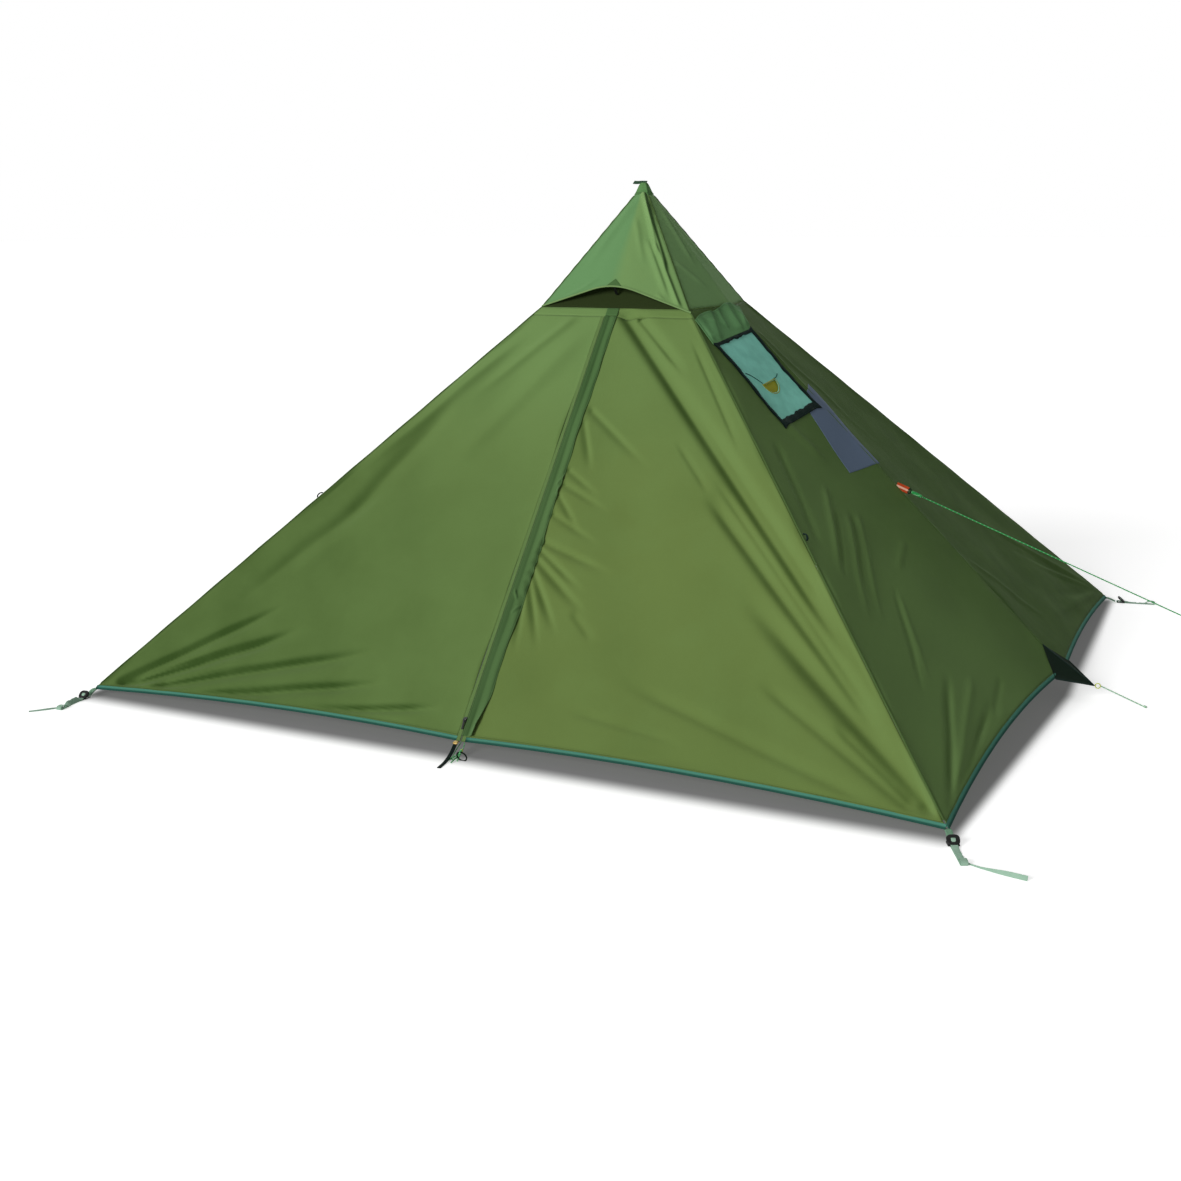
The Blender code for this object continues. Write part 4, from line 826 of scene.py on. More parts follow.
def folds_of(*rows: tuple[float, ...]) -> tuple[Fold, ...]:
    """Folds from rows of numbers: start, end, height, width, lee and both fades."""
    return tuple(Fold(row[:2], row[2:4], *row[4:]) for row in rows)


def fan(
    root: tuple[float, float], tips: Sequence[tuple[float, float]], height: float, width: float,
    lee: float = 2.0
) -> tuple[Fold, ...]:
    """Folds that spread from one point, ridge and valley by turns."""
    signs = (1 if place % 2 == 0 else -0.7 for place in range(len(tips)))
    return tuple(Fold(root, tip, height * sign, width, lee, 0.10, 0.55) for tip, sign in zip(tips, signs))


def raised(folds: Sequence[Fold], across: Array, down: Array) -> Array:
    """Height of all the folds together at these places."""
    return sum((fold.relief(across, down) for fold in folds), np.zeros_like(across))


def fold_shade(relief: Array, across: Array, down: Array, gain: float) -> tuple[Array, Array]:
    """How far each place of a folded cloth turns from the light and towards it.

    The slopes h_x and h_y follow from the grid's two differences; the light comes from the upper
    left, so a place gets painted highlight by 1.00 h_x + 0.35 h_y where that is above 0, and painted
    shade where it is below.

    Args:
        relief: Height of the cloth at each grid point.
        across: Metres across at each grid point.
        down: Metres down at each grid point.
        gain: Share for a slope of one.

    Returns:
        The painted shade share and the painted highlight share of every grid point.
    """
    (r_i, r_j), (a_i, a_j), (d_i, d_j) = (np.gradient(v) for v in (relief, across, down))
    area = a_j * d_i - a_i * d_j
    area = np.where(np.abs(area) < 1e-12, 1e-12, area)
    turned = gain * (1.00 * (r_j * d_i - r_i * d_j) + 0.35 * (a_j * r_i - a_i * r_j)) / area
    return np.clip(-turned, 0, 0.95), np.clip(0.28 * turned, 0, 0.35)


@dataclass(frozen=True)
class Face:
    """A cloth face ruled between its left and its right edge.

    A point is mix(left(t), right(t), s), with the hem lifted by 4 arch s (1 - s) over the last fifth,
    then raised along its normal by folds, a slow sag and slow waves, all calm towards its edges.
    """

    left: tuple[Array, Array]
    right: tuple[Array, Array]
    arch: float
    axis: Array
    origin: Array
    down: Array
    folds: tuple[Fold, ...] = ()
    sag: float = 0.010
    calm: tuple[float, float, float, float] = (0.03, 0.03, 0.03, 0.06)
    # Painted yellowish light and painted shade, as functions of metres across and down, by default an even
    # painted shade of 0.35; gain sets the painted shade and highlight of the folds.
    warm: Callable = lambda across, down: 0 * across
    dim: Callable = lambda across, down: 0 * across + 0.35
    gain: float = 1.3
    top_seam: bool = True

    def edges(self, t: Array) -> tuple[Array, Array]:
        """Points of the left and the right edge."""
        t = t[..., None]
        return mix(self.left[0], self.left[1], t), mix(self.right[0], self.right[1], t)

    def lift(self) -> Array:
        """Direction up the face, in which the hem's arch rises."""
        return unit(self.left[0] + self.right[0] - self.left[1] - self.right[1])

    def base(self, s: Array, t: Array) -> Array:
        """Points of the plain face."""
        left, right = self.edges(t)
        rise = 4 * self.arch * s * (1 - s) * np.clip((t - 0.8) / 0.2, 0, 1)
        return mix(left, right, s[..., None]) + rise[..., None] * self.lift()

    def width(self, t: Array) -> Array:
        """Width of the face at t."""
        left, right = self.edges(t)
        return np.linalg.norm(right - left, axis=-1)

    @property
    def foot_width(self) -> float:
        """Width of the face at its foot."""
        return float(self.width(point(1.0))[0])

    def steps(self, s: Array) -> Array:
        """The way from the top to the foot at s."""
        return mix(self.left[1] - self.left[0], self.right[1] - self.right[0], s[..., None])

    def height(self, s: Array) -> Array:
        """Length of the face down at s."""
        return np.linalg.norm(self.steps(s), axis=-1)

    def normal(self, s: Array, t: Array) -> Array:
        """Outward normals of the plain face."""
        left, right = self.edges(t)
        normals = unit(np.cross(right - left, self.steps(s)))
        return np.where(normals[..., 2:] < 0, -normals, normals)

    def plan(self, points: Array) -> tuple[Array, Array]:
        """Metres across and down the face."""
        return points @ self.axis, (points - self.origin) @ self.down

    def rooms(self, s: Array, t: Array) -> Array:
        """Distances to the left and right edge, to the top and to the hem tape."""
        width, height = self.width(t), self.height(s)
        return np.stack([s * width, (1 - s) * width, t * height, (1 - t) * height - PITCH.hem])

    def relief(self, s: Array, t: Array, points: Array) -> Array:
        """Height of the cloth over the plain face."""
        across, down = self.plan(points)
        total = raised(self.folds, across, down)
        waves = (
            np.sin(a * across + b * down + c) for a, b,
            c in ((9.1, 13.7, 1.3), (17.3, -7.9, 0), (5.3, 21.1, 4.0))
        )
        total = total + 0.0014 * sum(waves) - self.sag * np.sin(math.pi * s) * np.sin(math.pi * t)
        for room, calm in zip(self.rooms(s, t), self.calm):
            total = total * smooth(room, 0.0, calm)
        return total

    def skin(self, s: Array, t: Array, lift: object = 0.0) -> Array:
        """Points of the folded cloth, raised by lift."""
        points = self.base(s, t)
        return points + (self.relief(s, t, points) + lift)[..., None] * self.normal(s, t)

    def hem_share(self, s: Array, reach: float = PITCH.hem) -> Array:
        """The t at this distance above the foot."""
        low, high = self.base(s, np.full_like(s, 0.8)), self.base(s, np.ones_like(s))
        return 1 - 0.2 * reach / np.linalg.norm(high - low, axis=-1)

    def seam_marks(self, s: Array, t: Array) -> dict[str, Array]:
        """Distance to the nearest seam and the run along it, for the stitches."""
        points = self.base(s, t)
        across, down = self.plan(points)
        rooms = self.rooms(s, t)
        rooms[2] += 0 if self.top_seam else 1.0
        runs = np.stack([down, down, across, across])
        nearest = rooms.argmin(axis=0)
        run = np.take_along_axis(runs, nearest[None], 0)[0]
        # Painted shade and painted highlight of the folds, from their slopes to the light, on top of the
        # face's own painted shade and painted yellowish light.
        shade, lit = fold_shade(self.relief(s, t, points), across, down, self.gain)
        dim = np.clip(self.dim(across, down) + shade, 0, 1)
        return marks_of(run, rooms.min(axis=0), self.warm(across, down), dim=dim, lit=lit)

    def panel(self, rows: int, columns: int, insets: tuple[float, float], top: float) -> tuple[Array, Array]:
        """Shares of a grid from seam to seam and from top to hem.

        Args:
            rows: Count of rows.
            columns: Count of columns.
            insets: How far it stops short of its left and right edge, in metres.
            top: The t at which it starts.

        Returns:
            s and t of every grid point.
        """
        u, v = shares(columns, rows)
        t = mix(np.full_like(v, top), self.hem_share(u, PITCH.hem + GAP), v)
        width = self.width(t)
        return mix(insets[0] / width, 1 - insets[1] / width, u), t


RIDGE_INSET = 0.0040
SEAM_INSET = 0.0022
TAPE_ROOM = 0.0163
HEAD_TRIM = 0.0002

FRONT_RIGHT_FOLDS = folds_of(
    (0.023, -0.004, 1.185, 1.286, -0.021, 0.034, 0.59, 0.03, 0.22),
    (0.098, 0.026, 0.366, 0.286, -0.011, 0.02, 0.6, 0.05, 0.45),
    (0.349, 0.321, 1.018, 1.06, -0.007, 0.02, 0.6, 0.35, 0.12),
    (0.316, 0.105, 0.634, 0.582, -0.0035, 0.014, 0.57, 0.25, 0.3),
    (0.527, 0.699, 1.296, 1.468, -0.015, 0.03, 0.6, 0.16, 0.18),
    (0.535, 0.636, 1.263, 1.412, -0.0065, 0.017, 0.65, 0.2, 0.2),
    (0.722, 1.027, 1.475, 1.65, -0.023, 0.036, 0.78, 0.38, 0.06),
    (0.374, 0.513, 0.554, 0.717, -0.003, 0.014, 0.64, 0.3, 0.3),
    (0.865, 1.322, 1.426, 1.663, -0.007, 0.022, 0.64, 0.2, 0.1),
    (1.118, 1.425, 1.404, 1.629, -0.005, 0.016, 0.62, 0.2, 0.1),
    (0.419, 1.376, 1.301, 1.648, -0.008, 0.024, 0.67, 0.25, 0.15),
    (0.286, 1.5, 0.709, 1.556, -0.005, 0.018, 0.67, 0.25, 0.3),
    (0.201, 1.165, 0.321, 1.275, -0.004, 0.016, 0.69, 0.25, 0.4),
    (0.026, 0.409, 0.338, 0.648, -0.006, 0.0095, 1.6, 0.08, 0.6),
    (0.026, 0.46, 0.118, 0.669, -0.005, 0.009, 1.6, 0.1, 0.5),
    (0.023, 0.655, 0.18, 0.755, -0.0055, 0.008, 1.5, 0.08, 0.6),
    (0.021, 0.71, 0.233, 0.807, -0.006, 0.0085, 1.5, 0.08, 0.6),
    (0.02, 0.749, 0.147, 0.89, -0.006, 0.008, 1.5, 0.08, 0.6),
    (0.018, 0.826, 0.234, 0.93, -0.006, 0.0085, 1.5, 0.08, 0.6),
    (0.017, 0.93, 0.317, 1.029, -0.011, 0.01, 1.6, 0.05, 0.6),
    (0.017, 0.958, 0.226, 1.1, -0.009, 0.0085, 1.6, 0.05, 0.5),
    (0.017, 0.994, 0.276, 1.19, -0.011, 0.01, 1.6, 0.05, 0.6),
    (0.017, 1.031, 0.195, 1.277, -0.01, 0.009, 1.6, 0.05, 0.6),
    (0.017, 1.066, 0.145, 1.332, -0.008, 0.0085, 1.5, 0.06, 0.6),
    (0.016, 1.119, 0.065, 1.352, -0.006, 0.008, 1.3, 0.08, 0.6),
)
FRONT_LEFT_FOLDS = folds_of(
    (-0.483, 0.407, -0.814, 1.026, -0.007, 0.033, 1.0, 0.25, 0.35),
    (-0.594, 0.724, -1.067, 1.298, -0.006, 0.03, 1.0, 0.25, 0.35),
    (-0.28, 0.085, -0.796, 0.761, 0.0055, 0.022, 1.2, 0.25, 0.4),
    (-0.12, 0.019, -0.449, 0.42, 0.005, 0.02, 1.0, 0.15, 0.5),
    (-0.055, 0.061, -0.475, 0.761, 0.005, 0.04, 1.0, 0.2, 0.45),
    (-1.422, 1.654, -0.829, 1.257, -0.0117, 0.0151, 1.5, 0.05, 0.35),
    (-1.414, 1.665, -0.733, 1.349, -0.0171, 0.0166, 1.5, 0.05, 0.3),
    (-1.279, 1.64, -0.389, 1.384, -0.0162, 0.0166, 1.6, 0.08, 0.35),
    (-1.153, 1.66, -0.312, 1.493, -0.0153, 0.0144, 1.6, 0.1, 0.3),
    (-0.691, 1.644, -0.115, 1.554, -0.0135, 0.0108, 1.4, 0.12, 0.25),
    (-1.36, 1.628, -1.02, 1.478, 0.004, 0.006, 1.2, 0.15, 0.4),
    (-1.33, 1.648, -0.9, 1.52, 0.0045, 0.007, 1.2, 0.15, 0.4),
    (-1.18, 1.655, -0.7, 1.56, 0.0035, 0.007, 1.2, 0.2, 0.4),
)
RIGHT_NEAR_FOLDS = folds_of(
    (-0.457, 0.514, -0.775, 0.925, -0.008, 0.02, 1.0, 0.15, 0.3),
    (-0.31, 0.456, -0.288, 0.687, 0.006, 0.025, 1.2, 0.2, 0.4),
    (-0.394, 0.721, -0.813, 1.021, 0.006, 0.012, 1.3, 0.2, 0.35),
    (-0.481, 0.818, -0.781, 1.018, -0.007, 0.01, 1.3, 0.2, 0.35),
    (-0.413, 0.836, -0.873, 1.173, 0.0055, 0.012, 1.3, 0.2, 0.35),
    (-0.381, 0.844, -0.781, 1.115, -0.006, 0.01, 1.3, 0.2, 0.35),
    (-0.343, 0.852, -0.802, 1.198, 0.005, 0.011, 1.3, 0.2, 0.35),
    (-0.237, 1.03, -0.461, 1.104, 0.0035, 0.012, 1.3, 0.25, 0.35),
    (-0.528, 1.116, -0.929, 1.44, -0.004, 0.011, 1.2, 0.2, 0.3),
    (-0.539, 1.133, -0.86, 1.44, 0.0032, 0.012, 1.3, 0.2, 0.4),
    (-0.677, 1.427, -1.296, 1.708, -0.012, 0.012, 1.3, 0.3, 0.05),
    (-0.568, 1.49, -1.308, 1.705, 0.005, 0.014, 1.0, 0.15, 0.05),
    (-0.577, 1.585, -1.288, 1.707, -0.011, 0.0105, 1.2, 0.3, 0.06),
    (-0.537, 1.643, -1.034, 1.684, 0.006, 0.012, 1.2, 0.2, 0.2),
    (-0.416, 1.565, -0.677, 1.626, -0.005, 0.011, 1.2, 0.25, 0.3),
)


def mirrored(folds: Sequence[Fold]) -> tuple[Fold, ...]:
    """The folds with their across direction turned round."""
    return tuple(
        Fold(
            (-f.start[0], f.start[1]), (-f.end[0], f.end[1]), f.height * 0.8, f.width, 1 / f.lee, f.fade_in,
            f.fade_out
        )
        for f in folds
    )


def front_painted_warm_light(across: Array, down: Array) -> Array:
    """The right door is yellower, most at its middle and its foot; the left one a little, lower down."""
    # Painted yellowish light on the doors.
    right = smooth(across, -0.03, 0.02)
    return right * mix(0.45, 1.0, smooth(down, 0.1, 0.9)) + (1 - right) * 0.45 * smooth(down, 0.1, 0.7)


def front_painted_shade(across: Array, down: Array) -> Array:
    """The left door dulls towards its outer foot, the right one a little towards its hem."""
    # Painted shade, deepest at the left door's outer foot, where less light falls.
    left = smooth(-across, -0.05, 0.1)
    right = (1 - left) * (0.13 + 0.07 * smooth(down, 0.9, 1.6))
    return right + left * (0.32 * smooth(down, 0.1, 0.9) + 0.22 * smooth(-across + down * 0.4, 0.4, 1.7))


def near_painted_shade(across: Array, down: Array) -> Array:
    """The near half of a side dulls towards its centre seam."""
    # Painted shade on the near half of a side, deeper towards its centre seam.
    return 0.15 + 0.40 * smooth(across, -0.6, 0.0) - 0.10 * smooth(down, 1.0, 1.6) + 0.25 * (
        1 - smooth(down, 0.0, 0.5)
    )


def far_painted_shade(across: Array, down: Array) -> Array:
    """The far half of a side is the dullest, evenly."""
    # Painted shade: the far half of a side, turned from the light, is evenly darker.
    return 0.84 + 0 * across


def front_face(side: Side) -> Face:
    """One half of the front, from its ridge to the zip line."""
    edge = (PITCH.kink(side.value, -1), PITCH.corner(side.value, -1))
    origin = point(0, PITCH.zip_top[1], PITCH.kink_height)
    folds = FRONT_RIGHT_FOLDS if side is Side.RIGHT else FRONT_LEFT_FOLDS
    calm = (0.026, 0.030, 0.014, 0.030)
    looks = {"warm": front_painted_warm_light, "dim": front_painted_shade}
    return Face(
        edge, (PITCH.zip_top, PITCH.zip_foot), 0.022, UP_X, origin, ZIP_DOWN, folds, calm=calm,
        top_seam=False, **looks
    )


def side_face(side: Side, end: End) -> Face:
    """One half of a side, from its ridge to the centre seam."""
    x = side.value
    edge = (PITCH.kink(x, end.value), PITCH.corner(x, end.value))
    seam = (PITCH.side_kink(x), PITCH.side_foot(x))
    if end is End.FRONT:
        folds, arch = RIGHT_NEAR_FOLDS, 0.038
    else:
        root, tips = (1.31, 1.675), ((0.42, 1.00), (0.55, 1.22), (0.70, 1.36), (0.50, 1.50), (0.30, 1.56))
        folds, arch = fan(root, tips, 0.0065, 0.011), 0.020
        folds += folds_of(
            (0.02, 0.1, 0.3, 0.75, 0.004, 0.016, 1.5, 0.1, 0.6),
            (0.03, 1.2, 0.35, 1.6, 0.004, 0.014, 1.5, 0.2, 0.4)
        )
    dim = near_painted_shade if end is End.FRONT else far_painted_shade
    return Face(edge, seam, arch, UP_Y, seam[0], unit(seam[1] - seam[0]), folds, dim=dim, gain=0.7)


def rear_face() -> Face:
    """The whole rear, from ridge to ridge."""
    left = (PITCH.kink(-1, 1), PITCH.corner(-1, 1))
    right = (PITCH.kink(1, 1), PITCH.corner(1, 1))
    origin = (left[0] + right[0]) / 2
    down = unit((left[1] + right[1]) / 2 - origin)
    tips = ((0.90, 1.10), (0.80, 1.26), (0.68, 1.38), (0.50, 1.48), (0.28, 1.56))
    folds = fan((1.47, 1.66), tips, 0.0075, 0.012)
    folds += mirrored(folds)
    folds += fan((0.27, 0.02), ((0.62, 0.52), (0.42, 0.60), (0.20, 0.45)), 0.004, 0.014)
    folds += fan((-0.27, 0.02), ((-0.58, 0.55), (-0.36, 0.62)), 0.004, 0.014)
    return Face(left, right, 0.034, UP_X, origin, down, folds, sag=0.014)


FRONT = {side: front_face(side) for side in Side}
SIDE = {(side, end): side_face(side, end) for side in Side for end in End}
REAR = rear_face()


# The stove window's place on the right side


@dataclass(frozen=True)
class WindowPlace:
    """The plane of the stove window, and points of it dropped onto the cloth.

    A point x, y of the window lies at centre + X (x + skew y) + Y y and is moved along the
    plane's normal until it meets the folded cloth, by three rounds of repeated correction.
    """

    down: float = 0.304
    from_seam: float = 0.175
    turn: float = math.radians(1.5)
    skew: float = 0.105

    def axes(self) -> tuple[Array, Array, Array, Array]:
        """Centre, x axis, y axis and outward normal of the window."""
        seam = unit(PITCH.side_foot(1) - PITCH.side_kink(1))
        out = facing(unit(np.cross(PITCH.side_kink(1) - PITCH.kink(1, -1), seam)), UP_Z)
        aside = facing(np.cross(out, seam), UP_Y)
        centre = PITCH.side_kink(1) + seam * self.down - aside * self.from_seam
        cosine, sine = math.cos(self.turn), math.sin(self.turn)
        return centre, aside * cosine - seam * sine, -seam * cosine - aside * sine, out

    def flat(self, points: Array) -> tuple[Array, Array]:
        """The window's x and y of points near its plane."""
        centre, along, up, _ = self.axes()
        y = (points - centre) @ up
        return (points - centre) @ along - self.skew * y, y

    def on_cloth(self, x: Array, y: Array, lift: object = 0.0) -> Array:
        """Points of the window laid on the cloth, raised by lift."""
        centre, along, up, out = self.axes()
        place = centre + along * (x + self.skew * y)[..., None] + up * y[..., None]
        for _ in range(3):
            found = skin_at(place[..., 1], (place - PITCH.side_kink(1)) @ SIDE[Side.RIGHT, End.FRONT].down)
            place = place + ((found - place) @ out)[..., None] * out
        return place + np.asarray(lift + np.zeros_like(x))[..., None] * out


def skin_at(across: Array, down: Array) -> Array:
    """Points of the right side's cloth at metres across and down, by repeated correction of t.

    The row at t spans from -(0.2584 + 1.1016 t) to the seam, and down mixes the ridge's and the seam's.
    """
    near = SIDE[Side.RIGHT, End.FRONT]
    slope = size_of(near.right[1] - near.right[0])
    start = float((near.left[0] - near.origin) @ near.down)
    end = float((near.left[1] - near.origin) @ near.down)
    t = down / slope
    for _ in range(6):
        reach = PITCH.half_depth * mix(PITCH.kink_share, 1.0, t)
        s = 1 - np.abs(across) / reach
        t = (down - (1 - s) * start) / ((1 - s) * (end - start) + s * slope)
    points = [SIDE[Side.RIGHT, end].skin(s, t) for end in End]
    return np.where((across < 0)[..., None], points[0], points[1])


WINDOW = WindowPlace()


# Sub-assemblies


@dataclass(frozen=True)
class Canopy:
    """The big cloth panels below the kink."""

    wall: float = 0.0010

    def panel(
        self, name: str, node: str, face: Face, body: str, counts: tuple[int, int],
        insets: tuple[float, float], top: float, keep: Optional[Callable] = None
    ) -> bpy.types.Object:
        """One panel of a face, in place of its solid.

        Args:
            name: Name of the piece.
            node: The solid that it stands for.
            face: The face that it follows.
            body: The body that it rides on.
            counts: Rows and columns of its grid.
            insets: Room left at its left and right edge.
            top: The t at which it starts.
            keep: A function of the grid that says which faces stay.

        Returns:
            The panel.
        """
        s, t = face.panel(*counts, insets, top)
        grid = face.skin(s, t)
        base = face.base(s, t)
        outward = face.normal(point(0.5), point(0.5))[0]
        kept = keep(grid) if keep else None
        uv = np.stack(face.plan(base), -1)
        item = cloth(name, grid, CANOPY, self.wall, outward, uv, face.seam_marks(s, t), kept)
        area = ruled_area(base)
        flat = (face.foot_width + 0.02, area / face.foot_width * 1.5)
        return ride(item, body, node)

    def window_open(self, grid: Array) -> Array:
        """Faces outside the opening behind the stove window."""
        x, y = WINDOW.flat((grid[:-1, :-1] + grid[1:, 1:]) / 2)
        return ~((np.abs(x) < 0.094) & (np.abs(y) < 0.130))

    def build(self) -> None:
        """The two doors, the four side halves and the rear."""
        head = PITCH.header_share + HEAD_TRIM
        for side in Side:
            low = side.low
            self.panel(
                "cloth_door_" + low, "door_" + low, FRONT[side], "door_" + low, (196, 190),
                (RIDGE_INSET, TAPE_ROOM), head
            )
            for end in End:
                label = "%s_%s" % (low, end.low)
                counts = (210, 170) if label == "right_front" else (150, 110)
                keep = self.window_open if label == "right_front" else None
                self.panel(
                    "cloth_side_" + label, "side_" + label, SIDE[side, end], "shelter", counts,
                    (RIDGE_INSET, SEAM_INSET), HEAD_TRIM, keep
                )
        self.panel(
            "cloth_rear", "rear_panel", REAR, "shelter", (150, 200), (RIDGE_INSET, RIDGE_INSET), HEAD_TRIM
        )
        self.header()

    def header(self) -> None:
        """The fixed strip over the doors, with the head of the storm flap sewn over the zip's top."""
        u, v = shares(91, 5, (-1, 1), (0.0004, PITCH.header_share))
        halves = [FRONT[side].skin(1 - np.abs(u), v) for side in (Side.LEFT, Side.RIGHT)]
        grid = np.where((u < 0)[..., None], *halves)
        uv = np.stack([grid[..., 0], v * 1.65], -1)
        down = FRONT_SLOPE * v
        x = grid[..., 0]
        # The header takes the doors' painted yellowish light and painted shade.
        marks = marks_of(x, warm=front_painted_warm_light(x, down), dim=front_painted_shade(x, down))
        item = cloth("cloth_header", grid, CANOPY, self.wall, FRONT_OUT, uv, marks)
        ride(item, "shelter", "door_header")
        x, v = shares(12, 5, (-0.001, 0.0445), (0.0006, PITCH.header_share - 0.0004))
        grid = PITCH.zip_top + ZIP_DOWN * (
            v * FRONT_SLOPE
        )[..., None] + UP_X * x[..., None] + FRONT_OUT * 0.0012
        patch = cloth(
            "zip_head_patch", grid, FLAP_CLOTH, self.wall, FRONT_OUT, np.stack([x, v], -1), marks_of(x)
        )
        ride(patch, "shelter")


@dataclass(frozen=True)
class Hems:
    """The grosgrain tape folded round the foot of the canopy."""

    width: float = 0.016
    thickness: float = 0.0030

    def strip(self, name: str, node: str, body: str, parts: Sequence[tuple[Face, Array]]) -> None:
        """One length of tape: an oval section carried along the foot of one or two faces.

        Args:
            name: Name of the piece.
            node: The solid that it stands for.
            body: The body that it rides on.
            parts: Each face with the shares s that the tape passes.
        """
        places, ups = [], []
        for face, s in parts:
            t = face.hem_share(s, self.width / 2)
            places.append(face.base(s, t))
            ups.append(face.normal(s, t))
        path, up = np.vstack(places), np.vstack(ups)
        run = run_of(path)
        path = path + up * (0.0004 * np.sin(run * 41) - self.thickness / 2 + 0.0004)[:, None]
        if (np.cross(path[-1] - path[0], up[0]) @ UP_Z) < 0:
            path, up = path[::-1], up[::-1]
        strand(name, path, up, (self.width, self.thickness, 18, 0.45), HEM_TAPE, body, node)

    def build(self) -> None:
        """Front left and right, the two sides in one length each, and the rear."""
        for side in Side:
            low = side.low
            face = FRONT[side]
            s = np.linspace(RIDGE_INSET / face.foot_width, 1 - TAPE_ROOM / face.foot_width, 90)
            self.strip("tape_front_" + low, "hem_front_" + low, "door_" + low, [(face, s)])
            s = np.linspace(RIDGE_INSET / PITCH.half_depth, 0.9995, 80)
            self.strip(
                "tape_side_" + low, "hem_" + low, "shelter",
                [(SIDE[side, End.FRONT], s), (SIDE[side, End.REAR], s[::-1])]
            )
        self.strip("tape_rear", "hem_rear", "shelter", [(REAR, np.linspace(0.0015, 0.9985, 120))])


@dataclass(frozen=True)
class Seams:
    """Felled seams along the ridges, the side centres and the kink: a low half-round of doubled cloth."""

    width: float = 0.0065
    height: float = 0.0024

    def line(self, name: str, start: Array, end: Array, up: Array) -> None:
        """One seam, a flat oval carried along a line with the slight waviness that sewing leaves."""
        share = np.linspace(0, 1, 90)[:, None]
        path = mix(start, end, share) + unit(up) * (0.0005 * np.sin(share * 61) - 0.0002)
        strand(name, path, unit(up), (self.width, self.height, 10, 0.7), SEAM_CLOTH, "shelter")

    def build(self) -> None:
        """Four lower ridges, two side centres, four cap ridges and the kink round three sides."""
        for side in Side:
            x = side.value
            for end in End:
                y = end.value
                kink, corner = PITCH.kink(x, y), PITCH.corner(x, y)
                label = "%s_%s" % (side.low, end.low)
                slope = unit(kink - corner)
                self.line("seam_ridge_" + label, kink, mix(kink, corner, 0.985), point(x, y, 1.1))
                self.line(
                    "seam_cap_" + label, mix(PITCH.apex, kink, 0.10), kink - slope * 0.002, point(x, y, 0.7)
                )
                self.line("seam_kink_" + label, kink, PITCH.side_kink(x), point(x, 0, 0.85))
            self.line("seam_side_" + side.low, PITCH.side_kink(x), PITCH.side_seam(x, 0.125), point(x, 0, 1))
        self.line("seam_kink_rear", PITCH.kink(-1, 1), PITCH.kink(1, 1), point(0, 1, 0.85))


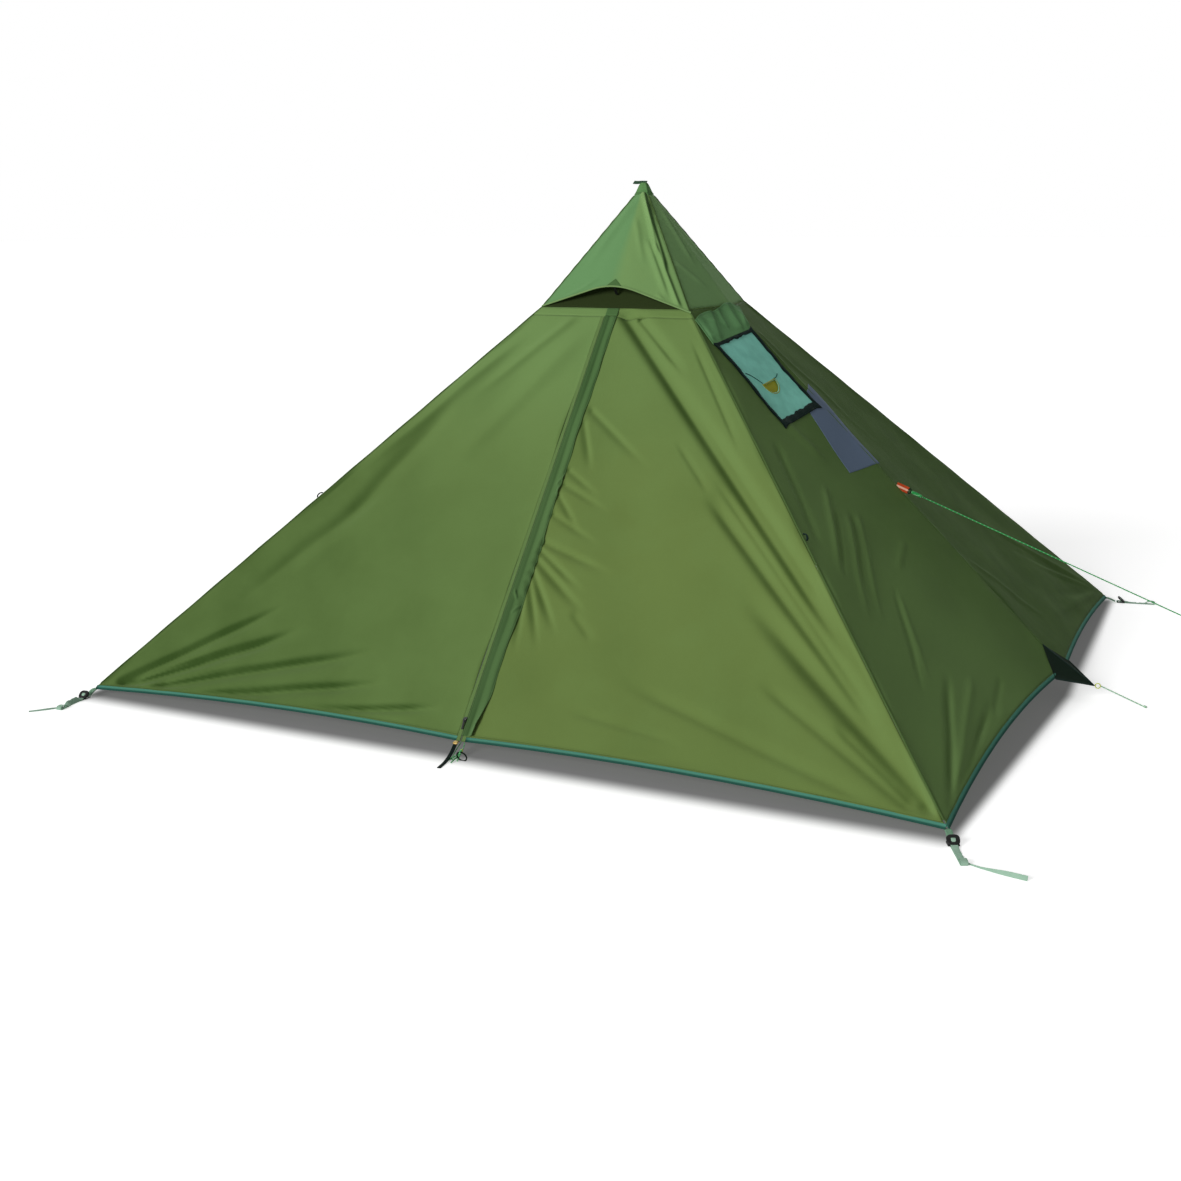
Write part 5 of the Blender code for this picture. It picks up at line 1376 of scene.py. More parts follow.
@dataclass(frozen=True)
class Cap:
    """The steep top: four creased faces, the front one a hood whose brim is propped open.

    A point is apex + t (foot(s) - apex), where foot(s) runs left, middle, right and is rounded at
    the middle, raised by folds given in metres from the middle line and down from the apex.
    """

    wall: float = 0.0010
    opening: float = 0.055
    brim_bend: float = 0.30
    brim_peak: float = 0.010
    brim_lap: float = 0.022

    def foot(self, s: Array, left: Array, middle: Array, right: Array, soft: float) -> Array:
        """The foot line: two straight runs joined by a soft bend soft wide."""
        x = s * 2 - 1
        bend = np.where(np.abs(x) < soft, (x * x / soft + soft) / 2, np.abs(x))
        straight = mix(left, right, s[..., None])
        return straight + (1 - bend)[..., None] * (middle - (left + right) / 2)

    def grid(
        self, feet: tuple[Array, Array, Array], folds: tuple[Fold, ...], soft: float,
        ends: tuple[float, float], counts: tuple[int, int]
    ) -> tuple[Array, ...]:
        """The cloth of one face.

        Args:
            feet: Left, middle and right foot.
            folds: Its folds.
            soft: Half width of the bend at the middle, as a share.
            ends: The t at the top and at the foot.
            counts: Rows and columns.

        Returns:
            Points, s, t, and the painted shade and painted highlight shares of its folds.
        """
        s, t = np.meshgrid(np.linspace(0.006, 0.994, counts[1]), np.linspace(*ends, counts[0]))
        foot = self.foot(s, *feet, soft)
        points = PITCH.apex + t[..., None] * (foot - PITCH.apex)
        normal = np.cross(np.gradient(points, axis=1), np.gradient(points, axis=0))
        normal = unit(np.where(normal[..., 2:] < 0, -normal, normal))
        across = (s - 0.5) * t * size_of(feet[2] - feet[0])
        down = t * size_of(feet[1] - PITCH.apex)
        calm = smooth(np.minimum(s, 1 - s) * t * CAP_WIDTH, 0.0, 0.012) * smooth(1 - t, 0.0, 0.05)
        relief = raised(folds, across, down) * calm
        return points + relief[..., None] * normal, s, t, *fold_shade(relief, across, down, 0.9)

    def face(
        self, name: str, node: str, feet: tuple[Array, Array, Array], folds: tuple[Fold, ...],
        soft: float = 0.05
    ) -> None:
        """One face of the cap, in place of its solid."""
        points, s, t, dim, lit = self.grid(feet, folds, soft, (self.opening, 0.9985), (120, 150))
        middle = (feet[0] + feet[2]) / 2
        height = size_of(feet[1] - PITCH.apex)
        across, down = (s - 0.5) * t * CAP_WIDTH, t * height
        away = np.minimum(np.minimum(s, 1 - s) * t * 0.55, (1 - t) * 0.5)
        # Painted light: the right half of the hood gets a painted yellowish light and the right face a
        # painted highlight all over, on top of the folds' painted shade and highlight.
        warm = smooth(s, 0.44, 0.56) * (0.95 if node == "cap_front" else 0.0)
        marks = marks_of(down, away, warm, dim=dim, lit=lit + (0.45 if node == "cap_right" else 0.0))
        outward = point(middle[0], middle[1], 0.3)
        item = cloth(name, points, CAP_CLOTH, self.wall, outward, np.stack([across, down], -1), marks)
        ride(item, "shelter", node)

    def hood_feet(self) -> tuple[Array, Array, Array]:
        """Left, middle and right foot of the hood; at the right the cloth laps down over the ridge."""
        kink = PITCH.kink(1, -1)
        lap = unit(PITCH.corner(1, -1) - kink) * self.brim_lap + point(0.0004, -0.0012, 0.0014)
        return PITCH.kink(-1, -1), PITCH.hood_peak + UP_Z * self.brim_peak, kink + lap

    def brim(self) -> None:
        """The rolled brim of the hood: a soft cord of cloth along its foot line."""
        s = np.linspace(0.0, 1.0, 90)
        feet = self.hood_feet()
        path = PITCH.apex + 0.997 * (
            self.foot(s, *feet, self.brim_bend) - PITCH.apex
        ) + point(0, -0.0012, 0.0012)
        strand("hood_brim", path, point(0, -0.7, 0.7), (0.0062, 0.0052, 12, 0.9), BRIM_CLOTH, "shelter")
        s, t = shares(12, 14, (0.5 - 0.055, 0.5 + 0.055), (0.0, 1.0))
        s = 0.5 + (s - 0.5) * t
        t = 0.925 + 0.068 * t
        points = PITCH.apex + t[..., None] * (
            self.foot(s, *feet, self.brim_bend) - PITCH.apex
        ) + point(0, -0.0010, 0.0010)
        uv = np.stack([s * CAP_WIDTH, t * 0.4], -1)
        ride(
            cloth("hood_peak_patch", points, FLAP_CLOTH, 0.0006, point(0, -1, 0.6), uv, marks_of(s)),
            "shelter"
        )

    def crown(self) -> None:
        """The sewn crown patch outside, with its tab, and the reinforced cup for the pole inside."""
        rear_right, rear_left = PITCH.kink(1, 1), PITCH.kink(-1, 1)
        rear = [rear_right, (rear_right + rear_left) / 2, rear_left, PITCH.side_kink(-1)]
        feet = np.array([*rear, PITCH.kink(-1, -1), PITCH.hood_peak, PITCH.kink(1, -1), PITCH.side_kink(1)])
        reach = (feet - PITCH.apex) * ((PITCH.top - PITCH.kink_height) / (PITCH.top - feet[:, 2]))[:, None]
        shape = rows, columns = 12, 64
        turn = np.arange(columns) / 8
        lower = np.floor(turn).astype(int) % 8
        part = (turn % 1)[:, None]
        round_ = mix(reach[lower], reach[(lower + 1) % 8], part)
        skirt = np.interp(
            np.linspace(0, 1, rows), np.linspace(0, 1, 7), (0.004, 0.024, 0.040, 0.050, 0.062, 0.080, 0.096)
        )
        dome = PITCH.top + 0.0036 - 0.0405 * smooth(skirt, 0.024, 0.104) / smooth(0.096, 0.024, 0.104)
        hollow = np.linspace(0.010, 0.22, rows)
        bowl = PITCH.top - 0.0040 - np.sqrt(hollow**2 + 0.033**2) * (PITCH.top - PITCH.kink_height)
        for name, node, parts, heights, finish in (
            ("crown_patch", "apex_patch", skirt, dome, CROWN_CLOTH),
            ("pole_cup", "apex_cup", hollow, bowl, DARK_WEB),
        ):
            level = np.broadcast_to(heights[:, None, None], (*shape, 1))
            grid = np.concatenate([parts[:, None, None] * round_[None, :, :2], level], -1)
            faces = grid_quads(*shape, closed=True).tolist() + [list(range(columns))]
            along, across = np.arange(columns) * 0.002, parts[:, None] * 0.5
            uv = np.stack([np.broadcast_to(along, shape), np.broadcast_to(across, shape)], -1)
            marks = marks_of(uv[..., 0], (parts.max() - parts)[:, None] * 0.5)
            item = put_mesh(name, grid, faces, finish, uv, marks)
            thicken(item, 0.0014, UP_Z)
            ride(item, "shelter", node)
        knots = np.array(
            [[0.010, 0.001, 1.7140], [-0.010, 0.0, 1.7146], [-0.026, -0.001, 1.7140], [-0.040, 0.0, 1.7150]]
        )
        path = curve_through(knots, 16)
        strand("crown_tab", path, unit(point(0, -0.6, 0.8)), (0.017, 0.0030, 12, 0.5), FLAP_WEB, "shelter")

    def build(self) -> None:
        """The four faces with their folds, the brim and the crown."""
        hood = folds_of(
            (0.006, 0.03, 0.13, 0.27, 0.011, 0.0075, 1.5, 0.06, 0.2),
            (0.02, 0.06, 0.175, 0.31, 0.01, 0.006, 1.4, 0.1, 0.16),
            (0.1, 0.215, 0.262, 0.44, 0.01, 0.007, 1.6, 0.15, 0.06),
            (0.06, 0.2, 0.205, 0.41, 0.006, 0.0085, 1.6, 0.25, 0.3),
            (0.0, 0.13, 0.09, 0.33, 0.003, 0.012, 1.0, 0.2, 0.5),
            (0.15, 0.4, 0.255, 0.455, 0.005, 0.008, 1.4, 0.3, 0.1),
            (-0.012, 0.06, -0.15, 0.33, 0.0028, 0.02, 1.0, 0.2, 0.5),
            (-0.06, 0.38, -0.24, 0.44, 0.003, 0.012, 1.0, 0.3, 0.3),
        )
        right = folds_of(
            (-0.03, 0.06, -0.18, 0.34, 0.0035, 0.008, 1.5, 0.15, 0.4),
            (-0.004, 0.1, -0.05, 0.38, 0.003, 0.01, 1.5, 0.15, 0.3),
            (0.01, 0.08, 0.12, 0.4, 0.003, 0.012, 1.5, 0.15, 0.3),
            (-0.15, 0.33, -0.06, 0.47, 0.003, 0.012, 1.2, 0.2, 0.4),
        )
        feet = {
            "front": self.hood_feet(),
            "right": (PITCH.kink(1, -1), PITCH.side_kink(1), PITCH.kink(1, 1)),
            "rear": (PITCH.kink(1, 1), (PITCH.kink(1, 1) + PITCH.kink(-1, 1)) / 2, PITCH.kink(-1, 1)),
            "left": (PITCH.kink(-1, 1), PITCH.side_kink(-1), PITCH.kink(-1, -1)),
        }
        for name, three in feet.items():
            folds = {"front": hood, "right": right}.get(name, mirrored(right))
            self.face(
                "cloth_cap_" + name, "cap_" + name, three, folds, self.brim_bend if name == "front" else 0.05
            )
        self.brim()
        self.crown()


@dataclass(frozen=True)
class Vent:
    """The net across the vent mouth; the prop under the brim keeps its solid."""

    top_share: float = 0.62
    edge_room: float = 0.014
    setback: float = 0.004

    def build(self) -> None:
        """The net, sagging 3 mm inwards between its edges."""
        left, right = PITCH.kink(-1, -1), PITCH.kink(1, -1)
        plane = facing(unit(np.cross(right - left, PITCH.apex - left)), -UP_Y)
        u, v = shares(70, 26, (0, 1), (0.0006, 1))
        up = mix(1.0, self.top_share, v)
        first = PITCH.apex + up[..., None] * (left - PITCH.apex)
        last = PITCH.apex + up[..., None] * (right - PITCH.apex)
        room = self.edge_room * (1 - 2 * u)
        grid = mix(first, last, u[..., None]) + UP_X * room[..., None]
        sag = self.setback * v + 0.003 * np.sin(math.pi * u) * np.sin(math.pi * v)
        grid = grid - plane * sag[..., None]
        uv = np.stack([grid[..., 0], v * 0.2], -1)
        item = cloth("net_vent", grid, VENT_NET, 0.0006, plane, uv)
        ride(item, "shelter", "vent_net")


@dataclass(frozen=True)
class ZipFront:
    """The zip tapes with their coils, and the storm flap that covers them."""

    length: float = 1.61826
    tape: float = 0.015
    coil: float = 0.0035
    half_gap: float = 0.0010
    flap_widths: tuple[float, float] = (0.044, 0.056)

    def start(self) -> Array:
        """Top of the tapes, just under the header."""
        return mix(PITCH.zip_top, PITCH.zip_foot, PITCH.header_share) + ZIP_DOWN * GAP

    def build(self) -> None:
        """Both tapes and the flap."""
        share = np.linspace(0, 1, 360)
        for side in Side:
            x = side.value
            middle = self.start() + ZIP_DOWN * (share * self.length)[:, None] + UP_X * x * (
                self.half_gap + self.tape / 2
            )
            low = side.low
            strand(
                "zip_band_" + low, middle - FRONT_OUT * 0.0006, FRONT_OUT, (self.tape, 0.0012, 12, 0.4),
                DARK_ZIP, "door_" + low, "zip_tape_" + low
            )
            fine = np.linspace(0, 1, 5400)
            turn = fine * self.length / 0.0024 * TAU
            centre = self.start() + ZIP_DOWN * (0.001 + fine * (self.length - 0.002))[:, None]
            centre = centre + UP_X * x * (self.half_gap + self.coil / 2 - 0.0002) + FRONT_OUT * 0.00085
            wire = arc(centre, UP_X * 0.0013, FRONT_OUT * 0.00055, turn)
            strand("zip_coil_" + low, wire, ZIP_DOWN, (0.0007, 0.0007, 5, 1.0), ZIP_COIL, "door_" + low)
        self.flap()

    def flap(self) -> None:
        """The storm flap: it arches over the coils, lies on the right door and puckers at its free edge."""
        face = FRONT[Side.RIGHT]
        u, v = shares(26, 330)
        run = v * (self.length - 0.0185)
        width = mix(*self.flap_widths, v)
        x = 0.0008 + u * (
            width - 0.0008
        ) + 0.0008 * np.sin(run * 23) * u**3 + 0.0007 * np.sin(run * 57 + 1) * u**3
        tail = smooth(v, 0.900, 1.0)
        x = x * (1 - 0.30 * tail * u)
        t = PITCH.header_share + HEAD_TRIM + run / FRONT_SLOPE
        s = 1 - x / face.width(t)
        over = mix(0.0033, 0.0015, smooth(x, 0.006, 0.020))
        pucker = (0.0016 + 0.0016 * np.sin(run * 31 + 2 * np.sin(run * 7))) * smooth(u, 0.72, 1.0)
        quilt = 0.0009 * np.sin(u * TAU * 1.5 + 0.6) * smooth(u, 0.2, 0.4)
        notch = 0.0060 * (
            np.exp(-(((run - 0.66) / 0.012) ** 2)) + np.exp(-(((run - 0.71) / 0.018) ** 2))
        ) * smooth(u, 0.80, 1.0)
        curl = 0.010 * tail * smooth(u, 0.35, 1.0)
        relief = over + pucker + quilt + notch + curl
        ends = (
            (0.030, 0.690, 0.046, 0.655), (0.010, 1.080, 0.030, 1.120), (0.020, 1.170, 0.050, 1.130),
            (0.034, 1.575, 0.052, 1.520)
        )
        relief = relief + raised(folds_of(*((*four, 0.0030, 0.0035, 1.5, 0.3, 0.3) for four in ends)), x, run)
        grid = face.skin(s, np.clip(t, 0, 1), relief)
        grid = grid + ZIP_DOWN * (np.clip(t - 1, 0, 1) * FRONT_SLOPE)[..., None]
        away = np.minimum(x, np.abs(width - x))
        # Painted shade and painted highlight from the flap's folds, a painted yellowish light over its lower
        # part, and more painted shade towards its foot.
        dim, lit = fold_shade(relief, x, run, 1.2)
        marks = marks_of(run, away, 0.5 * smooth(v, 0.1, 0.6), dim=dim + 0.25 * smooth(v, 0.3, 0.9), lit=lit)
        item = cloth("cloth_storm_flap", grid, FLAP_CLOTH, 0.0008, FRONT_OUT, np.stack([x, run], -1), marks)
        ride(item, "door_right", "storm_flap")


@dataclass(frozen=True)
class StoveWindow:
    """The heat panel with its pipe port, the border sewn round it, the port flap and the rain cover."""

    width: float = 0.300
    height: float = 0.372
    border: float = 0.027
    panel_inset: tuple[float, float] = (0.014, 0.009)
    panel_cloth: float = 0.0010
    border_cloth: float = 0.0012
    cover_cloth: float = 0.0014
    patch_cloth: float = 0.0005
    patch_lift: float = 0.0009
    bead_lift: float = 0.0026
    bead_height: float = 0.0022
    stitch: float = 0.0046
    stitch_pitch: float = 0.0065
    thread_radius: float = 0.0006
    port_area: float = 0.0026
    port_lip: float = 0.0065
    port_radius: float = 0.052
    port_aside: float = 0.016
    port_below: float = 0.014
    tilt: float = math.radians(2.5)

    def port_axes(self) -> tuple[Array, Array]:
        """Middle and direction of the port's upper edge, where the flap hangs."""
        reach = self.port_radius + 0.008
        ends = WINDOW.on_cloth(point(-reach, reach) - self.port_aside, np.full(2, -self.port_below), -0.0007)
        return (ends[0] + ends[1]) / 2, unit(ends[1] - ends[0])

    def panel(self) -> None:
        """The heat panel: a grid on the cloth with the half-round port left open."""
        half_x, half_y = self.width / 2 - self.panel_inset[0], self.height / 2 - self.panel_inset[1]
        x, y = shares(150, 190, (-half_x, half_x), (half_y, -half_y))
        bulge = 0.0015 * np.sin(math.pi * (x / half_x + 1) / 2) * np.sin(math.pi * (y / half_y + 1) / 2)
        grid = WINDOW.on_cloth(x, y, 0.0016 + bulge)
        px, py = x + self.port_aside, y + self.port_below
        open_ = (np.hypot(px, py) < self.port_radius - 0.001) & (py < -self.port_lip)
        keep = ~(open_[:-1, :-1] & open_[1:, 1:])
        item = cloth(
            "heat_panel", grid, HEAT_CLOTH, self.panel_cloth, WINDOW.axes()[3], np.stack([x, y], -1),
            keep=keep
        )
        ride(item, "shelter", "jack_panel")
        turn = np.linspace(math.pi, TAU, 60)
        bow = np.sin(np.linspace(0, math.pi, 26)), np.sin(np.linspace(0, math.pi, 20))
        rim, binding = self.port_radius * np.cos(turn), np.linspace(-0.052, 0.050, 40)
        left, right = np.linspace(-0.102, -0.046, 26), np.linspace(0.044, 0.090, 20)
        for name, x, y, width, finish in (
            ("port_rim", rim, self.port_radius * np.sin(turn) - 0.002, 0.0034, GOLD_CLOTH),
            ("port_top_binding", binding, np.linspace(-0.006, -0.004, 40), 0.0040, GOLD_CLOTH),
            ("port_tie_left", left, np.linspace(0.058, 0.0, 26) + 0.006 * bow[0], 0.0050, HEAT_DARK),
            ("port_tie_right", right, np.linspace(-0.002, 0.008, 20) - 0.004 * bow[1], 0.0034, HEAT_DARK),
        ):
            self.bead(name, x, y, width, finish)

    def bead(self, name: str, x: Array, y: Array, width: float, finish: Finish) -> None:
        """A narrow bead of binding along a line of the window, given from the port's middle."""
        path = WINDOW.on_cloth(x - self.port_aside, y - self.port_below, self.bead_lift)
        strand(name, path, WINDOW.axes()[3], (width, self.bead_height, 10, 0.8), finish, "shelter")

    def frame(self) -> None:
        """The border: four lengths of tape round the panel, wavy along the inside where they are gathered."""
        half_x, half_y = self.width / 2, self.height / 2
        shape = rows, columns = 16, 480
        turn = np.linspace(0, 4, columns, endpoint=False)
        corner = np.floor(turn).astype(int)
        part = turn - corner
        starts = np.array([[-1, 1], [1, 1], [1, -1], [-1, -1], [-1, 1]], float)
        square = mix(starts[corner], starts[corner + 1], part[:, None])
        outer = square * point(half_x, half_y)
        inner = square * point(half_x - 0.019, half_y - 0.0205) + point(0, 0.0075)
        wave = 0.0026 * np.sin(part * TAU * 3 + corner) + 0.0014 * np.sin(part * TAU * 7)
        edge = unit(inner) * wave[:, None] * np.sin(np.pi * part)[:, None] ** 0.5
        near = np.exp(-((part / 0.05) ** 2)) + np.exp(-(((1 - part) / 0.05) ** 2))
        u = np.linspace(0, 1, rows)[:, None, None]
        flat = mix((inner + edge)[None], (outer + unit(outer) * (0.010 * near)[:, None])[None], u)
        lift = 0.0034 + 0.0022 * np.sin(math.pi * u[..., 0]) + 0.0012 * np.sin(turn * 29)[None] * u[..., 0]
        grid = WINDOW.on_cloth(flat[..., 0], flat[..., 1], lift)
        around, across = turn * 0.33, (u[..., 0] - 0.5) * self.border
        uv = np.stack([np.broadcast_to(around, shape), np.broadcast_to(across, shape)], -1)
        item = put_mesh("window_border", grid, grid_quads(*shape, closed=True).tolist(), JACK_BORDER, uv)
        thicken(item, self.border_cloth, WINDOW.axes()[3])
        ride(item, "shelter", "jack_frame")
        for row, away in (("inner", 0.16), ("outer", 0.84)):
            self.stitches("window_stitch_" + row, mix(inner + edge, outer, away))

    def stitches(self, name: str, line: Array) -> None:
        """A row of lockstitch on the border: short rods end to end, all in one mesh."""
        ring = np.vstack([line, line[:1]])
        run = run_of(ring)
        starts = np.arange(0, run[-1] - 0.006, self.stitch_pitch)
        ends = starts + self.stitch
        pair = np.stack([starts, ends], -1)
        flat = np.stack([np.interp(pair, run, ring[:, k]) for k in range(2)], -1)
        lift = 0.0054 if "inner" in name else 0.0051
        rods = WINDOW.on_cloth(flat[..., 0], flat[..., 1], np.full(pair.shape, lift))
        along = unit(rods[:, 1] - rods[:, 0])
        out = WINDOW.axes()[3]
        side = unit(np.cross(along, out))
        count = len(rods)
        square = np.array([[1, 0], [0, 1], [-1, 0], [0, -1]], float) * self.thread_radius
        cells = rods[:, :, None] + side[:, None, None] * square[
            None, None, :, :1
        ] + out * square[None, None, :, 1:]
        base = (np.arange(count) * 8)[:, None, None]
        ring4 = np.array([[0, 1, 5, 4], [1, 2, 6, 5], [2, 3, 7, 6], [3, 0, 4, 7], [3, 2, 1, 0], [4, 5, 6, 7]])
        faces = (base + ring4[None]).reshape(-1, 4).tolist()
        item = put_mesh(name, cells, faces, THREAD, np.zeros((count * 8, 2)))
        close_out(item)
        ride(item, "shelter")

    def flap(self) -> None:
        """The port's flap, a half disc of aramid cloth shut along the panel, from the port's upper edge."""
        middle, along = self.port_axes()
        reach = self.port_radius + 0.0075
        r, a = shares(22, 44, (0.0006, reach), (0, math.pi))
        x, z = r * np.cos(a), -r * np.sin(a)
        _, _, window_up, window_out = WINDOW.axes()
        up = unit(window_up * math.cos(self.tilt) + window_out * math.sin(self.tilt))
        out = facing(unit(np.cross(along, up)), window_out)
        bend = 0.0006 * np.sin(x * 90)
        grid = middle + along * x[..., None] + up * z[..., None] + out * bend[..., None]
        item = cloth("gold_port_flap", grid, GOLD_CLOTH, self.panel_cloth, out, np.stack([x, z], -1))
        ride(item, "flap", "port_flap")

    def cover(self) -> None:
        """The rain cover flipped up over the window: loose upright folds that spread towards its top."""
        u, v = shares(170, 90)
        x = mix(mix(-0.158, -0.140, v), mix(0.140, 0.232, v), u)
        rise = 0.122 * v * (1 - 0.10 * (2 * u - 1) ** 2) + 0.006 * np.sin(u * 11) * v
        folds = folds_of(
            (-0.15, 0.0, -0.09, 0.15, 0.004, 0.02, 1.9, 0.12, 0.2),
            (-0.11, 0.0, -0.004, 0.14, 0.008, 0.017, 2.2, 0.12, 0.16),
            (0.0, 0.03, 0.05, 0.14, 0.005, 0.011, 1.6, 0.2, 0.16),
            (0.08, 0.0, 0.12, 0.14, 0.007, 0.015, 2.0, 0.15, 0.2),
            (-0.03, 0.06, -0.1, 0.12, 0.0025, 0.008, 1.4, 0.3, 0.3),
            (0.12, 0.01, 0.19, 0.09, 0.004, 0.011, 1.4, 0.2, 0.3),
        )
        relief = raised(folds, x, rise) * smooth(u, 0, 0.06) * smooth(1 - u, 0, 0.06)
        # The folds' painted shade and painted highlight come from their slopes to the light; below, the cloth
        # is also made darker a little all over and more towards its top.
        dim, shine = fold_shade(relief, x, -rise, 0.8)
        lift = 0.0042 + relief * smooth(v, -0.1, 0.25)
        y = self.height / 2 + 0.0010 + rise
        grid = WINDOW.on_cloth(x, y, lift)
        dim = np.clip(dim + 0.05 + 0.25 * smooth(v, 0.5, 1.0), 0, 1)
        marks = marks_of(x, np.minimum(np.minimum(u, 1 - u) * 2, 1 - v) * 0.12, dim=dim, lit=shine)
        item = cloth(
            "cloth_rain_cover", grid, COVER_CLOTH, self.cover_cloth, WINDOW.axes()[3], np.stack([x, y], -1),
            marks
        )
        ride(item, "cover", "rain_cover")

    def bare_patch(self) -> None:
        """A plain patch of grey-blue cloth, laid on the slope below the window and left bare."""
        u, v = shares(60, 70)
        top = mix(point(0.440, -0.106), point(0.384, 0.070), u[..., None])
        foot = mix(point(0.742, -0.204), point(0.767, 0.034), u[..., None])
        place = mix(top, foot, v[..., None])
        grid = skin_at(place[..., 1], place[..., 0])
        out = WINDOW.axes()[3]
        grid = grid + out * self.patch_lift
        x, y = WINDOW.flat(grid)
        clear = (np.abs(x) > 0.144) | (np.abs(y) > 0.180)
        keep = clear[:-1, :-1] & clear[1:, 1:] & clear[1:, :-1] & clear[:-1, 1:]
        uv = np.stack([place[..., 1], place[..., 0]], -1)
        ride(cloth("bare_patch", grid, BARE_PATCH, self.patch_cloth, out, uv, marks_of(u), keep), "shelter")

    def build(self) -> None:
        """Every piece of the window."""
        self.panel()
        self.frame()
        self.flap()
        self.cover()
        self.bare_patch()


@dataclass(frozen=True)
class Gusset:
    """The net fin that pulls a side out at its foot, with bound edges."""

    height: float = 0.172
    spread: float = 0.120
    reach: float = 0.095
    tip_height: float = 0.048

    def hem_point(self, side: Side, end: End) -> Array:
        """The foot of the side at this distance from its centre seam."""
        face = SIDE[side, end]
        s = np.linspace(0.6, 1.0, 200)
        foot = face.base(s, np.ones_like(s))
        at = np.abs(foot[:, 1])[::-1]
        return point(*(np.interp(self.spread, at, foot[::-1, k]) for k in range(3)))

    def tip(self, side: Side) -> Array:
        """The fin's tip."""
        return point(side.value * (PITCH.half_width + PITCH.side_foot_pull + self.reach), 0, self.tip_height)

    def build(self) -> None:
        """Both fins: two faces each, from the seam to the tip."""
        for side in Side:
            low = side.low
            off = point(side.value, 0, 0) * 0.0018
            head = PITCH.side_seam(side.value, self.height) + off
            tip = self.tip(side) + off
            feet = [self.hem_point(side, end) + off for end in (End.FRONT, End.REAR)]
            u, v = shares(61, 31, (-1, 1))
            middle = mix(head, tip, v[..., None])
            edge = np.where((u < 0)[..., None], feet[0], feet[1])
            grid = mix(middle, edge, np.abs(u)[..., None])
            hollow = 0.006 * np.sin(math.pi * np.abs(u)) * np.sin(math.pi * v)
            grid = grid - point(side.value, 0, 0.4) * hollow[..., None]
            uv = np.stack([grid[..., 1], v * 0.18], -1)
            item = cloth("net_gusset_" + low, grid, GUSSET_NET, 0.0009, point(side.value, 0, 0.5), uv)
            ride(item, "shelter", "gusset_" + low)
            lines = {"front": (feet[0], tip), "rear": (feet[1], tip), "head": (head, tip)}
            for label, (start, end) in lines.items():
                path = mix(start, end, np.linspace(0, 0.985, 30)[:, None])
                strand(
                    "gusset_edge_%s_%s" % (low, label), path, point(side.value, 0, 0.7),
                    (0.0060, 0.0026, 10, 0.7), DARK_WEB, "shelter"
                )


@dataclass(frozen=True)
class TieOut:
    """The webbing tie-outs, and the guyline with its wrapped knot and end loop."""

    slope: float = math.radians(-20.8)
    length: float = 0.052
    thickness: float = 0.0032
    knot: float = 0.040
    line: float = 0.930
    radius: float = 0.0020
    loop: float = 0.018

    def direction(self) -> Array:
        """Direction of the guyline."""
        return point(math.cos(self.slope), 0, math.sin(self.slope))

    def root(self, side: Side) -> Array:
        """Where a tie-out meets the cloth."""
        return PITCH.side_seam(side.value, 0.683) + point(side.value, 0, 1) * 0.0006

    def build_cords(self) -> None:
        """Knot, line and end loop: the line is taut from the tie-out and ends in its loop."""
        along = self.direction()
        start = self.root(Side.RIGHT) + along * (self.thickness + self.length + GAP)
        line_start = start + along * (self.knot + GAP)
        share = np.linspace(0, 1, 40)[:, None]
        path = mix(line_start, line_start + along * self.line, share)
        line = strand(
            "guy_cord", path, UP_Z, (self.radius * 2, self.radius * 2, 12, 1.0), GUY_CORD, "shelter",
            "guyline"
        )
        turn = np.linspace(0, 1, 260)
        up = np.cross(along, UP_Y)
        taper = 0.75 + 0.25 * np.sin(math.pi * turn)
        coil = start + along * (0.0012 + turn * (self.knot - 0.0024))[:, None]
        coil = coil + arc(0, up, UP_Y, turn * TAU * 13) * (0.0046 * taper)[:, None]
        knot = strand("guy_knot", coil, along, (0.0034, 0.0034, 8, 1.0), GUY_CORD, "shelter", "guyline_knot")
        middle = line_start + along * (self.line + GAP + self.loop + self.radius * 1.5)
        angle = np.linspace(0, TAU, 72)
        ring = arc(middle, along * self.loop, up * self.loop, angle)
        loop = strand(
            "guy_loop", ring, UP_Y, (self.radius * 3, self.radius * 3, 10, 1.0), GUY_CORD, "shelter",
            "guyline_loop"
        )

    def build(self) -> None:
        """The two tie-outs: webbing with a pale stripe, folded on itself, and an eye of black webbing."""
        for side in Side:
            low = side.low
            along = self.direction() * point(side.value, 1, 1)
            up = facing(np.cross(along, UP_Y), UP_Z)
            start = self.root(side)
            path = start + along * np.linspace(0.0, self.length + self.thickness - 0.010, 24)[:, None]
            strand(
                "tie_web_" + low, path, -UP_Y, (0.024, self.thickness, 16, 0.45), TIE_WEB, "shelter",
                "tie_out_" + low
            )
            angle = np.linspace(0.25, TAU - 0.25, 40)
            middle = start + along * (self.length + self.thickness - 0.0060)
            ring = arc(middle, along * -0.0055, up * 0.0085, angle)
            strand("tie_eye_" + low, ring, -UP_Y, (0.0034, 0.0040, 8, 0.8), STRAP_WEB, "shelter")


